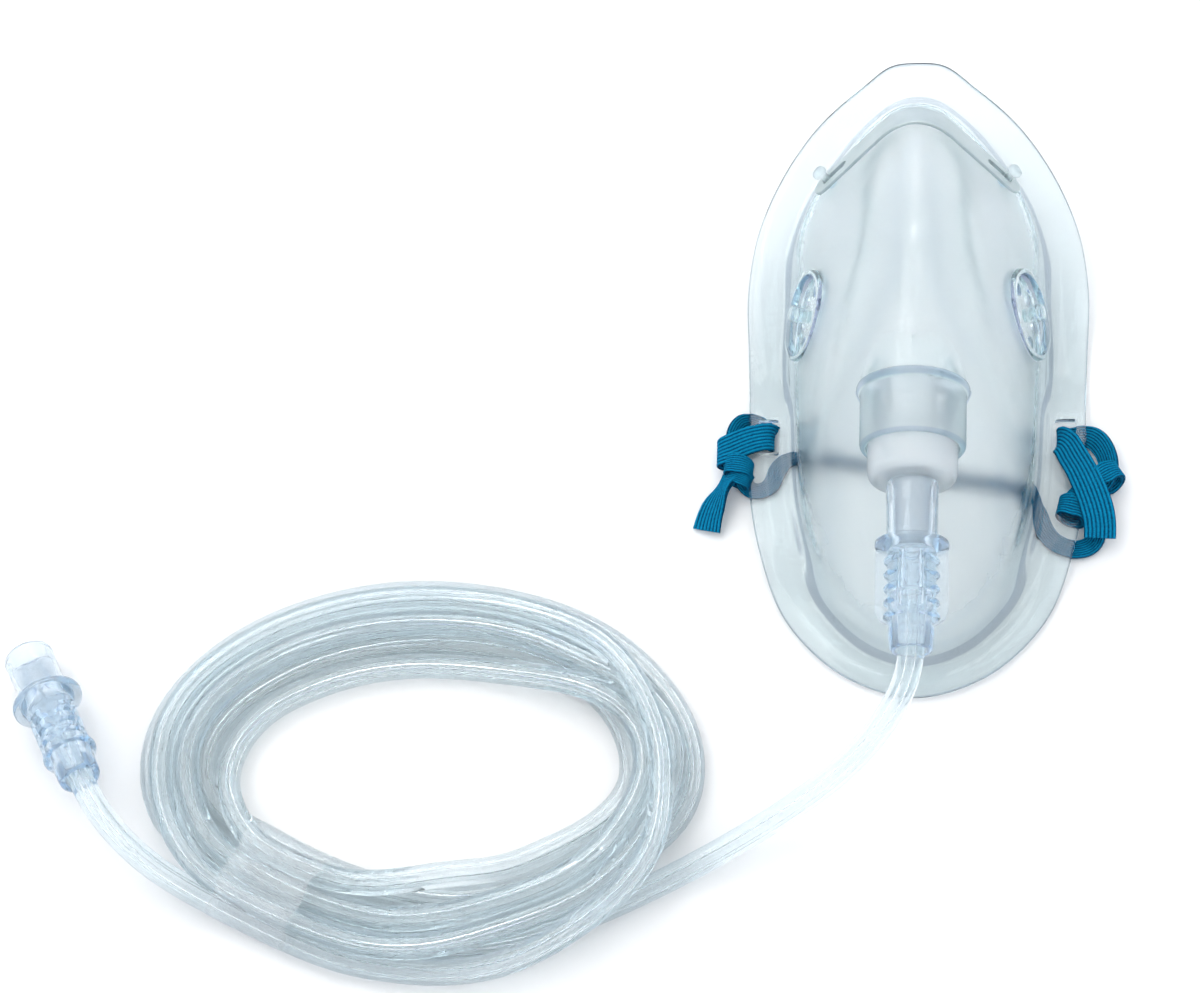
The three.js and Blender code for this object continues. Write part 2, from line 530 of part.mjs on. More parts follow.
// ---------------------------------------------------------------- tube connectors
// One mould, used at both ends. Local +Z from the cup's mouth (z = 0) to the tube end.
function connector(segments = 20) {
  const L = CONN_LEN;
  const f = SOCKET_LEN;
  const outer = lathe([
    [0, 0], [SOCKET_OD / 2 - 0.35, 0], [SOCKET_OD / 2, 0.35], [SOCKET_OD / 2 - 0.2, f - 0.8],
    [SOCKET_OD / 2 + 0.5, f - 0.3], [FLANGE_OD / 2 - 0.4, f - 0.1], [FLANGE_OD / 2, f + 0.25], [FLANGE_OD / 2, f + 0.85],
    [FLANGE_OD / 2 - 0.7, f + 1.35], [5.3, f + 1.9], [4.95, f + 2.6],
    [4.95, L - 8.2], [4.95, L - 6.6], [4.85, L - 6.2], [4.4, L - 0.5], [4.0, L], [0, L],
  ], segments);
  let m = toManifold(outer);
  // grip ribs; the last one runs all the way round
  const rib = (z, r = 5.75) => lathe([[4.2, z - 0.75], [r - 0.25, z - 0.35], [r, z], [r - 0.25, z + 0.35], [4.2, z + 0.75], [4.2, z - 0.75]], segments);
  const zs = [f + 4.1, f + 7.1, f + 10.1, f + 13.1];
  for (const z of zs) {
    // broken at the front and the back, where the moulding has a smooth panel
    let r = toManifold(rib(z));
    r = r.subtract(toManifold(box(-2.9, 2.9, -9, 9, z - 3, z + 3)));
    m = m.add(r);
  }
  m = m.add(toManifold(rib(L - 7.2, 5.8)));
  // two thin fins, opposite each other, from the flange to the last rib
  const fin = new THREE.Shape();
  fin.moveTo(4.0, f + 0.5);
  fin.lineTo(7.4, f + 0.5);
  fin.lineTo(7.4, L - 8.4);
  fin.lineTo(6.6, L - 6.6);
  fin.lineTo(5.2, L - 5.6);
  fin.lineTo(4.0, L - 5.6);
  fin.closePath();
  for (const s of [1, -1]) {
    const g = new THREE.ExtrudeGeometry(fin, { depth: 0.9, bevelEnabled: false });
    g.translate(0, 0, -0.45).rotateX(Math.PI / 2); // now in the XZ plane, +Z along the connector
    if (s < 0) g.rotateZ(Math.PI);
    m = m.add(toManifold(g));
  }
  // bore: tapered cup, a narrow throat, and the seat of the tube
  const bore = lathe([
    [0, -1], [4.15, -1], [4.15, 0.4], [3.95, 1.2], [3.75, f + 1.0], [2.2, f + 2.2], [2.2, L - 13.0], [TUBE_OD / 2 + 0.38, L - 12.6], [TUBE_OD / 2 + 0.38, L + 1], [0, L + 1],
  ], segments);
  return m.subtract(toManifold(bore));
}
const connectorSolid = connector();

const MASK_CONN_FROM = TURRET_OUT + 0.35; // its mouth stands just clear of the adapter's face
const maskConnector = connectorSolid.transform(place(PORT.clone().addScaledVector(AXIS, MASK_CONN_FROM), AXIS).toArray());
const MASK_TAIL = PORT.clone().addScaledVector(AXIS, MASK_CONN_FROM + CONN_LEN);

// supply end, propped on the lower edge of its cup by the tube's spring
const SUPPLY_PITCH = THREE.MathUtils.degToRad(14);
const SUPPLY_AXIS = V(0.475 * Math.cos(SUPPLY_PITCH), -0.88 * Math.cos(SUPPLY_PITCH), Math.sin(SUPPLY_PITCH)).normalize();
const SUPPLY_MOUTH = V(-189.9, -64.8, (SOCKET_OD / 2) * Math.cos(SUPPLY_PITCH) + 0.04);
const supplyConnector = connectorSolid.transform(place(SUPPLY_MOUTH, SUPPLY_AXIS, V(0, 0, 1)).toArray());
const SUPPLY_TAIL = SUPPLY_MOUTH.clone().addScaledVector(SUPPLY_AXIS, CONN_LEN);

// ---------------------------------------------------------------- tube
// free stretches of the one tube; both run to the coil's outer side
const tubeSection = () => {
  const sh = new THREE.Shape();
  const n = 10;
  for (let i = 0; i < n; i++) {
    const a = (i / n) * Math.PI * 2;
    if (i === 0) sh.moveTo((TUBE_OD / 2) * Math.cos(a), (TUBE_OD / 2) * Math.sin(a));
    else sh.lineTo((TUBE_OD / 2) * Math.cos(a), (TUBE_OD / 2) * Math.sin(a));
  }
  sh.closePath();
  return sh;
};
const TUBE_FLOOR = TUBE_OD / 2 + 0.06;
function tubeAlong(points, steps) {
  const curve = new THREE.CatmullRomCurve3(points, false, 'centripetal');
  const g = new THREE.ExtrudeGeometry(tubeSection(), { steps, bevelEnabled: false, extrudePath: curve });
  g.deleteAttribute('normal');
  g.deleteAttribute('uv');
  return orient(mergeVertices(g, 1e-3));
}
const along = (p, dir, d) => p.clone().addScaledVector(dir, d);
const MASK_LEAD = [
  along(MASK_TAIL, AXIS, -12.2), along(MASK_TAIL, AXIS, -6), along(MASK_TAIL, AXIS, 0), along(MASK_TAIL, AXIS, 4),
  V(-1.2, -84.2, 34.6), V(-4.6, -89.2, 30.6), V(-10.2, -93.2, 24.6), V(-17.4, -96.8, 17.2), V(-25.6, -100.2, 10.4),
  V(-34.4, -104.0, 5.6), V(-43.0, -108.4, 3.3), V(-51.6, -113.0, TUBE_FLOOR), V(-60.0, -117.4, TUBE_FLOOR), V(-66.0, -120.2, TUBE_FLOOR),
];
const SUPPLY_LEAD = [
  along(SUPPLY_TAIL, SUPPLY_AXIS, -12.2), along(SUPPLY_TAIL, SUPPLY_AXIS, -6), along(SUPPLY_TAIL, SUPPLY_AXIS, 0), along(SUPPLY_TAIL, SUPPLY_AXIS, 4),
  V(-168.9, -102.6, 12.4), V(-164.8, -106.6, 8.4), V(-160.4, -109.9, 5.0), V(-155.6, -112.7, 3.3), V(-150.6, -115.2, TUBE_FLOOR),
];

const COIL_FLOOR = 0.62; // room for the tape under the turns
// the wound turns, as one ring of their outer shape
function coilRingSolid(grow) {
  const pts = [];
  const { a } = COIL;
  const rx = COIL.rx + grow;
  const rz = COIL.rz + grow;
  const n = 12;
  for (let i = 0; i <= n; i++) {
    const t = (i / n) * Math.PI * 2;
    const c = Math.cos(t);
    const s = Math.sin(t);
    const k = 0.78; // squared-off section
    pts.push([a + rx * Math.sign(c) * Math.abs(c) ** k, rz * Math.sign(s) * Math.abs(s) ** k]);
  }
  pts[n] = pts[0];
  const g = new THREE.LatheGeometry(pts.map(([r, h]) => new THREE.Vector2(r, h)), 40).rotateX(Math.PI / 2);
  // drawn in across Y to the oval that the turns lie in
  const p = g.attributes.position;
  for (let i = 0; i < p.count; i++) {
    const x = p.getX(i);
    const y = p.getY(i);
    const r = Math.hypot(x, y);
    const off = r - a;
    const ang = Math.atan2(y, x);
    const ex = a * Math.cos(ang);
    const ey = COIL.b * Math.sin(ang);
    const nx = Math.cos(ang) / a;
    const ny = Math.sin(ang) / COIL.b;
    const nl = Math.hypot(nx, ny);
    p.setXYZ(i, COIL.x + ex + off * nx / nl, COIL.y + ey + off * ny / nl, p.getZ(i) + COIL.rz + COIL_FLOOR);
  }
  g.deleteAttribute('normal');
  g.deleteAttribute('uv');
  return orient(mergeVertices(g, 1e-3));
}
const coilRing = coilRingSolid(0);
// the free stretches end just clear of the turns that they run into
const clearance = coilRingSolid(0.35);
const endAtCoil = (m) => m.subtract(clearance).decompose().sort((a, b) => b.volume() - a.volume())[0];
const leadMask = endAtCoil(tubeAlong(MASK_LEAD, 26));
const leadSupply = endAtCoil(tubeAlong(SUPPLY_LEAD, 16));

// clear tape wrapped round the bundle
const coilTape = (() => {
  const ang = THREE.MathUtils.degToRad(234);
  const c = V(COIL.x + COIL.a * Math.cos(ang), COIL.y + COIL.b * Math.sin(ang), COIL.rz + COIL_FLOOR);
  const nx = Math.cos(ang) / COIL.a;
  const ny = Math.sin(ang) / COIL.b;
  const out = V(nx, ny, 0).normalize();
  const tan = V(-out.y, out.x, 0);
  const half = 9; // half the tape's width
  const rings = [];
  const n = 28;
  const rx = COIL.rx + 1.6;
  const rz = COIL.rz + 0.3;
  const t = 0.25;
  for (let i = 0; i < n; i++) {
    const th = (i / n) * Math.PI * 2;
    const cc = Math.cos(th);
    const ss = Math.sin(th);
    const k = 0.62;
    const at = (ax, az, w) => c.clone()
      .addScaledVector(out, ax * Math.sign(cc) * Math.abs(cc) ** k)
      .addScaledVector(V(0, 0, 1), az * Math.sign(ss) * Math.abs(ss) ** k)
      .addScaledVector(tan, w);
    rings.push([at(rx + t, rz + t, half), at(rx + t, rz + t, -half), at(rx, rz, -half), at(rx, rz, half)]);
  }
  return orient(loft(rings, true));
})();

// ---------------------------------------------------------------- head strap
// one elastic band: through each slot, round the rim and into a knot, with its ends free
function bandSolid(list, widths = STRAP_W, thick = STRAP_T) {
  return orient(band(list.map((q) => V(q[0], q[1], q[2])), list.map((q) => V(q[3], q[4], q[5])), widths, thick));
}
function roundedLoop(sx, y0, y1, xo, xi, z0, z1, t) {
  // closed band loop round the bar outside the slot, seen along Y as a rounded rectangle
  const ring = (x0, x1, a, b, r) => {
    const s = new THREE.Shape();
    s.moveTo(x0 + r, a);
    s.lineTo(x1 - r, a);
    s.absarc(x1 - r, a + r, r, -Math.PI / 2, 0, false);
    s.lineTo(x1, b - r);
    s.absarc(x1 - r, b - r, r, 0, Math.PI / 2, false);
    s.lineTo(x0 + r, b);
    s.absarc(x0 + r, b - r, r, Math.PI / 2, Math.PI, false);
    s.lineTo(x0, a + r);
    s.absarc(x0 + r, a + r, r, Math.PI, Math.PI * 1.5, false);
    return s;
  };
  const make = (s) => {
    const g = new THREE.ExtrudeGeometry(s, { depth: y1 - y0, bevelEnabled: false, curveSegments: 4 });
    g.rotateX(Math.PI / 2).translate(0, y1, 0);
    return toManifold(g);
  };
  const o = make(ring(xo, xi, z0, z1, 1.4));
  const inn = (() => {
    const g = new THREE.ExtrudeGeometry(ring(xo + t, xi - t, z0 + t, z1 - t, 0.7), { depth: y1 - y0 + 4, bevelEnabled: false, curveSegments: 4 });
    g.rotateX(Math.PI / 2).translate(0, y1 + 2, 0);
    return toManifold(g);
  })();
  const m = o.subtract(inn);
  return sx > 0 ? m.transform(new THREE.Matrix4().makeScale(-1, 1, 1).toArray()) : m;
}
function knotSolid(x, y, z, rx, ry, rz) {
  return toManifold(new THREE.SphereGeometry(1, 16, 10).scale(rx, ry, rz), new THREE.Matrix4().makeTranslation(x, y, z));
}
const strap = (() => {
  const ym = (SLOT.y0 + SLOT.y1) / 2;
  const FLOOR = 0.62;
  const flat = (pts) => bandSolid(pts.map(([x, y, z = FLOOR]) => [x, y, z, 0, 0, 1]));
  let m = roundedLoop(-1, ym - STRAP_W / 2, ym + STRAP_W / 2, -41.6, -31.0, 0.12, 4.9, STRAP_T)
    .add(roundedLoop(1, ym - STRAP_W / 2, ym + STRAP_W / 2, -41.6, -31.0, 0.12, 4.9, STRAP_T));
  m = m.add(knotSolid(-40.4, -18.2, 3.4, 3.9, 4.8, 3.2));
  m = m.add(knotSolid(41.2, -22.0, 3.4, 4.0, 7.6, 3.2));
  // free ends
  m = m.add(flat([[-40.4, -17.6, 4.0], [-42.2, -22.0, 3.9], [-44.0, -27.6, 2.9], [-45.2, -33.2, 1.8]]));
  m = m.add(flat([[38.2, -11.4, 4.4], [38.8, -16.0, 5.4], [39.4, -22.0, 5.8], [39.6, -28.6, 4.4], [39.4, -34.8, 2.4]]));
  // loops under the rim
  m = m.add(flat([[-40.4, -19.0], [-38.4, -22.4], [-35.2, -23.4], [-32.6, -21.4], [-31.8, -17.6], [-31.8, ym]]));
  m = m.add(flat([[40.6, -24.0], [40.2, -31.6], [37.0, -36.2], [32.4, -36.8], [29.2, -33.0], [28.6, -27.0], [30.4, -20.0], [31.8, ym]]));
  // main span across the inside, on the surface under the mask
  m = m.add(flat([
    [-32.6, ym], [-28.0, -12.6], [-21.0, -15.6], [-12.0, -18.7], [-2.0, -20.8],
    [8.0, -22.4], [17.0, -25.0], [24.0, -28.4], [29.4, -32.0],
  ]));
  return m;
})();

// ---------------------------------------------------------------- assembly
const root = new THREE.Group();
function add(name, geometry, color, roughness, metalness, extra = {}) {
  const mat = new THREE.MeshStandardMaterial({ color, roughness, metalness, ...extra });
  const mesh = new THREE.Mesh(geometry, mat);
  mesh.name = name;
  root.add(mesh);
  return mesh;
}
const clear = { transparent: true, opacity: 0.35 };
add('mask_shell', toGeometry(shell), 0xdcebf0, 0.12, 0, clear);
add('nose_clip', toGeometry(clip), 0xc4ccca, 0.42, 1);
add('swivel_adapter', toGeometry(adapter), 0xe9f1f3, 0.4, 0);
add('mask_connector', toGeometry(maskConnector), 0xcfdfec, 0.15, 0, clear);
add('supply_connector', toGeometry(supplyConnector), 0xcfdfec, 0.15, 0, clear);
add('tube_lead_mask', toGeometry(leadMask), 0xdbe8ee, 0.15, 0, clear);
add('tube_lead_supply', toGeometry(leadSupply), 0xdbe8ee, 0.15, 0, clear);
add('tube_coil', toGeometry(coilRing), 0xdbe8ee, 0.15, 0, clear);
add('coil_tape', toGeometry(coilTape), 0xe6eef2, 0.1, 0, clear);
add('head_strap', toGeometry(strap), 0x1178a6, 0.85, 0);

export default root;
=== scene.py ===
# Looks of the oxygen face mask and its supply tube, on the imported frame. Lengths below are in millimetres
# until they go into a mesh; +Z up, +Y towards the nose, the mask rests on its rim at z = 0.
import bpy
import bmesh
import math
import numpy as np
from mathutils import Matrix, Vector


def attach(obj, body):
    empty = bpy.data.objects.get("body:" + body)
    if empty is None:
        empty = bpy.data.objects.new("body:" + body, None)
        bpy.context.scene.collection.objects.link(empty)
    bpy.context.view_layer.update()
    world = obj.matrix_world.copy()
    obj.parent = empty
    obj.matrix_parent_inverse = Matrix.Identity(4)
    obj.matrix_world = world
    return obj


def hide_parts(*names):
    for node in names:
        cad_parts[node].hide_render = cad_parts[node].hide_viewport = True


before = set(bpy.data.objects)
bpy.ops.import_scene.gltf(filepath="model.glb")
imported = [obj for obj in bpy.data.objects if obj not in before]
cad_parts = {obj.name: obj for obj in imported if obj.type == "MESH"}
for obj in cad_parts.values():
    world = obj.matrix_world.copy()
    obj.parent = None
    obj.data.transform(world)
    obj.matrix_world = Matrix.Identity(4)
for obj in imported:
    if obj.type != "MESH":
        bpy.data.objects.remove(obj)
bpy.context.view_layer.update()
MM = 0.001
rng = np.random.default_rng(5)
scene = bpy.context.scene

# ------------------------------------------------------------------ camera
EL, YAW = math.radians(65.0), math.radians(5.963583)
back0 = np.array([0.0, -math.cos(EL), math.sin(EL)])
up = np.array([0.0, math.sin(EL), math.cos(EL)])
right = np.array([1.0, 0, 0]) * math.cos(YAW) - back0 * math.sin(YAW)
back = np.cross(right, up)
cam_data = bpy.data.cameras.new("camera")
cam_data.lens, cam_data.sensor_width, cam_data.sensor_fit = 110.917, 36.0, "HORIZONTAL"
cam_data.clip_start, cam_data.clip_end = 0.02, 50.0
cam = bpy.data.objects.new("camera", cam_data)
scene.collection.objects.link(cam)
cam.matrix_world = Matrix(((right[0], up[0], back[0], 0.015), (right[1], up[1], back[1], -0.36221461),
                           (right[2], up[2], back[2], 0.72504623), (0, 0, 0, 1)))
scene.camera = cam


# ------------------------------------------------------------------ helpers
def unit(v):
    v = np.asarray(v, float)
    return v / np.maximum(np.linalg.norm(v, axis=-1, keepdims=True), 1e-12)


def spline(points, step):
    """Natural cubic curve through the points, as points about `step` apart, with their distance along it."""
    p = np.asarray(points, float)
    d = np.r_[0, np.cumsum(np.linalg.norm(np.diff(p, axis=0), axis=1))]
    n = len(p)
    h = np.diff(d)
    a = np.zeros((n, n))
    r = np.zeros((n, p.shape[1]))
    a[0, 0] = a[-1, -1] = 1
    for i in range(1, n - 1):
        a[i, i - 1], a[i, i], a[i, i + 1] = h[i - 1], 2 * (h[i - 1] + h[i]), h[i]
        r[i] = 6 * ((p[i + 1] - p[i]) / h[i] - (p[i] - p[i - 1]) / h[i - 1])
    m = np.linalg.solve(a, r)
    def at(s):
        i = np.clip(np.searchsorted(d, s, side="right") - 1, 0, n - 2)
        t0, t1, hh = (d[i + 1] - s)[:, None], (s - d[i])[:, None], h[i][:, None]
        return (m[i] * t0 ** 3 + m[i + 1] * t1 ** 3) / (6 * hh) + (p[i] / hh - m[i] * hh / 6) * t0 + (p[i + 1] / hh - m[i + 1] * hh / 6) * t1
    fine = at(np.linspace(0, d[-1], int(d[-1] / (step * 0.25)) + 2))
    f = np.r_[0, np.cumsum(np.linalg.norm(np.diff(fine[:, :3], axis=0), axis=1))]
    s = np.linspace(0, f[-1], max(3, int(round(f[-1] / step)) + 1))
    return np.stack([np.interp(s, f, fine[:, k]) for k in range(fine.shape[1])], 1), s


def frames(path, start=(0, 0, 1)):
    """Tangents and two cross directions that don't twist along the path."""
    t = unit(np.gradient(path, axis=0))
    n = np.zeros_like(t)
    a = np.asarray(start, float)
    n[0] = unit(a - t[0] * (a @ t[0]))
    for i in range(1, len(t)):
        v = n[i - 1] - t[i] * (n[i - 1] @ t[i])
        n[i] = v / np.linalg.norm(v)
    return t, n, np.cross(t, n)


def add_mesh(name, verts, faces, material=None, smooth=True, uv=None, sharp=None):
    me = bpy.data.meshes.new(name)
    me.from_pydata((np.asarray(verts, float) * MM).tolist(), [], faces if isinstance(faces, list) else faces.tolist())
    if uv is not None:
        layer = me.uv_layers.new(name="UVMap")
        idx = np.zeros(len(me.loops), np.int32)
        me.loops.foreach_get("vertex_index", idx)
        layer.data.foreach_set("uv", np.asarray(uv, np.float32)[idx].ravel())
    me.validate()
    me.update()
    ob = bpy.data.objects.new(name, me)
    scene.collection.objects.link(ob)
    if material:
        me.materials.append(material)
    me.shade_smooth() if smooth else me.shade_flat()
    if sharp:
        me.set_sharp_from_angle(angle=math.radians(sharp))
    return ob


def face_out(ob):
    """Normals of every closed island point out of it."""
    bm = bmesh.new()
    bm.from_mesh(ob.data)
    bmesh.ops.recalc_face_normals(bm, faces=bm.faces)
    bm.to_mesh(ob.data)
    bm.free()
    return ob


def grid(rows, n, closed=True, base=0):
    """Quads between `rows` rings of n points."""
    i = np.arange(n if closed else n - 1)
    j = (i + 1) % n
    k = np.arange(rows - 1)[:, None] * n + base
    return np.stack([k + i, k + j, k + j + n, k + i + n], -1).reshape(-1, 4)


def lathe(profile, seg=64, place=None, fillet=0):
    """Closed solid turned about local Z. The profile is [radius, height] from axis to axis."""
    pr = np.array(profile, float)
    a = np.arange(seg) / seg * 2 * math.pi
    verts, rings = [], []
    for r, h in pr:
        if r < 1e-9:
            rings.append([len(verts)])
            verts.append((0, 0, h))
        else:
            rings.append(list(range(len(verts), len(verts) + seg)))
            verts += list(zip(r * np.cos(a), r * np.sin(a), np.full(seg, h)))
    faces = []
    for a_, b_ in zip(rings[:-1], rings[1:]):
        for i in range(seg):
            j = (i + 1) % seg
            if len(a_) == 1 and len(b_) == 1:
                continue
            if len(a_) == 1:
                faces.append((a_[0], b_[j], b_[i]))
            elif len(b_) == 1:
                faces.append((a_[i], a_[j], b_[0]))
            else:
                faces.append((a_[i], a_[j], b_[j], b_[i]))
    return solid(np.array(verts), faces, place)


def solid(verts, faces, place=None):
    v = np.asarray(verts, float)
    if place is not None:
        v = v @ place[:3, :3].T + place[:3, 3]
    ob = add_mesh("tmp", v, [tuple(int(i) for i in f) for f in faces])
    bm = bmesh.new()
    bm.from_mesh(ob.data)
    bmesh.ops.remove_doubles(bm, verts=bm.verts, dist=1e-7)
    bmesh.ops.recalc_face_normals(bm, faces=bm.faces)
    if bm.calc_volume() < 0:
        bmesh.ops.reverse_faces(bm, faces=bm.faces)
    bm.to_mesh(ob.data)
    bm.free()
    return ob


def prism(outline, z0, z1, place=None):
    """Straight extrusion of a plain outline along local Z."""
    o = np.array(outline, float)
    n = len(o)
    v = np.r_[np.c_[o, np.full(n, z0)], np.c_[o, np.full(n, z1)]]
    f = [tuple(range(n))[::-1], tuple(range(n, 2 * n))] + [(i, (i + 1) % n, n + (i + 1) % n, n + i) for i in range(n)]
    return solid(v, f, place)


def rounded(x0, x1, y0, y1, r, k=6):
    out = []
    for cx, cy, a0 in ((x1 - r, y0 + r, -90), (x1 - r, y1 - r, 0), (x0 + r, y1 - r, 90), (x0 + r, y0 + r, 180)):
        for i in range(k + 1):
            a = math.radians(a0 + 90 * i / k)
            out.append((cx + r * math.cos(a), cy + r * math.sin(a)))
    return out


def placed(origin, z, x=(1, 0, 0)):
    z = unit(z)
    x = np.asarray(x, float)
    x = unit(x - z * (x @ z))
    m = np.eye(4)
    m[:3, 0], m[:3, 1], m[:3, 2], m[:3, 3] = x, np.cross(z, x), z, origin
    return m


def csg(a, b, how):
    """a = a (union, difference or intersect) b; b is used up."""
    mod = a.modifiers.new("b", "BOOLEAN")
    mod.object, mod.operation, mod.solver = b, how, "MANIFOLD"
    dg = bpy.context.evaluated_depsgraph_get()
    me = bpy.data.meshes.new_from_object(a.evaluated_get(dg), depsgraph=dg)
    a.modifiers.clear()
    old = a.data
    a.data = me
    bpy.data.meshes.remove(old)
    data = b.data
    bpy.data.objects.remove(b)
    bpy.data.meshes.remove(data)
    return a


def finish_solid(ob, name, material, angle=32):
    ob.name = name
    ob.data.name = name
    ob.data.materials.clear()
    ob.data.materials.append(material)
    for p in ob.data.polygons:
        p.material_index = 0
    ob.data.shade_smooth()
    ob.data.set_sharp_from_angle(angle=math.radians(angle))
    return ob


# ------------------------------------------------------------------ materials
class Mat:
    """Small node-tree writer."""

    def __init__(self, name):
        self.m = bpy.data.materials.new(name)
        self.m.use_nodes = True
        self.t = self.m.node_tree
        self.bsdf = self.t.nodes["Principled BSDF"]
        self.out = self.t.nodes["Material Output"]
        self.coord = self.t.nodes.new("ShaderNodeTexCoord")

    def link(self, a, b):
        self.t.links.new(a, b)

    def node(self, kind, **values):
        n = self.t.nodes.new(kind)
        for k, v in values.items():
            if k in n.inputs:
                n.inputs[k].default_value = v
            else:
                setattr(n, k, v)
        return n

    def noise(self, scale, detail=4.0, rough=0.55, stretch=None, source="Object"):
        n = self.node("ShaderNodeTexNoise", Scale=scale, Detail=detail, Roughness=rough)
        vec = self.coord.outputs[source]
        if stretch:
            m = self.node("ShaderNodeMapping")
            m.inputs["Scale"].default_value = stretch
            self.link(vec, m.inputs["Vector"])
            vec = m.outputs["Vector"]
        self.link(vec, n.inputs["Vector"])
        return n.outputs["Fac"]

    def ramp(self, fac, stops):
        r = self.node("ShaderNodeValToRGB")
        while len(r.color_ramp.elements) < len(stops):
            r.color_ramp.elements.new(0.5)
        for e, (pos, c) in zip(r.color_ramp.elements, stops):
            e.position = pos
            e.color = (*c, 1) if len(c) == 3 else c
        self.link(fac, r.inputs["Fac"])
        return r.outputs["Color"]

    def range(self, fac, a, b, lo=0.3, hi=0.7):
        r = self.node("ShaderNodeMapRange")
        r.inputs["From Min"].default_value, r.inputs["From Max"].default_value = lo, hi
        r.inputs["To Min"].default_value, r.inputs["To Max"].default_value = a, b
        self.link(fac, r.inputs["Value"])
        return r.outputs["Result"]

    def math(self, op, a, b=None):
        n = self.node("ShaderNodeMath", operation=op)
        for i, x in enumerate((a, b)):
            if x is None:
                continue
            if isinstance(x, (int, float)):
                n.inputs[i].default_value = x
            else:
                self.link(x, n.inputs[i])
        return n.outputs[0]

    def mix(self, fac, a, b):
        n = self.node("ShaderNodeMix", data_type="RGBA")
        for sock, x in ((n.inputs[0], fac), (n.inputs[6], a), (n.inputs[7], b)):
            if isinstance(x, (int, float)):
                sock.default_value = x
            elif isinstance(x, tuple):
                sock.default_value = (*x, 1)
            else:
                self.link(x, sock)
        return n.outputs[2]

    def bump(self, heights, strength=1.0):
        """heights: list of (height output, distance in metres)"""
        prev = None
        for h, dist in heights:
            b = self.node("ShaderNodeBump")
            b.inputs["Strength"].default_value = strength
            b.inputs["Distance"].default_value = dist
            self.link(h, b.inputs["Height"])
            if prev is not None:
                self.link(prev, b.inputs["Normal"])
            prev = b.outputs["Normal"]
        self.link(prev, self.bsdf.inputs["Normal"])

    def set(self, **kw):
        for k, v in kw.items():
            s = self.bsdf.inputs[k.replace("_", " ")]
            if hasattr(v, "is_output"):
                self.link(v, s)
            else:
                s.default_value = v

    def absorb(self, color, density):
        v = self.node("ShaderNodeVolumeAbsorption")
        v.inputs["Color"].default_value = (*color, 1)
        v.inputs["Density"].default_value = density
        self.link(v.outputs["Volume"], self.out.inputs["Volume"])


def clear_plastic(name, tint_a, tint_b, rough, ior, absorb, density, wave=0.00004, fleck=0.0, scale=45.0, milk=0.0, coat=0.0):
    """Moulded clear PVC: two close tints, hazy patches, a soft waviness and fine scuffs."""
    m = Mat(name)
    broad = m.noise(scale, 1.0)
    fine = m.noise(900.0, 2.0, 0.6)
    haze = m.noise(160.0, 2.0, 0.65)
    m.set(Base_Color=m.ramp(m.range(broad, 0, 1), [(0.0, tint_a), (1.0, tint_b)]),
          Roughness=m.math("ADD", m.range(haze, rough[0], rough[1], 0.42, 0.72), m.range(broad, 0.0, 0.02)),
          IOR=ior, Transmission_Weight=1.0 - milk, Coat_Weight=coat, Coat_Roughness=0.05)
    hs = [(m.noise(120.0, 1.0), wave)]
    if fleck:
        hs.append((fine, fleck))
    m.bump(hs)
    m.absorb(absorb, density)
    return m.m


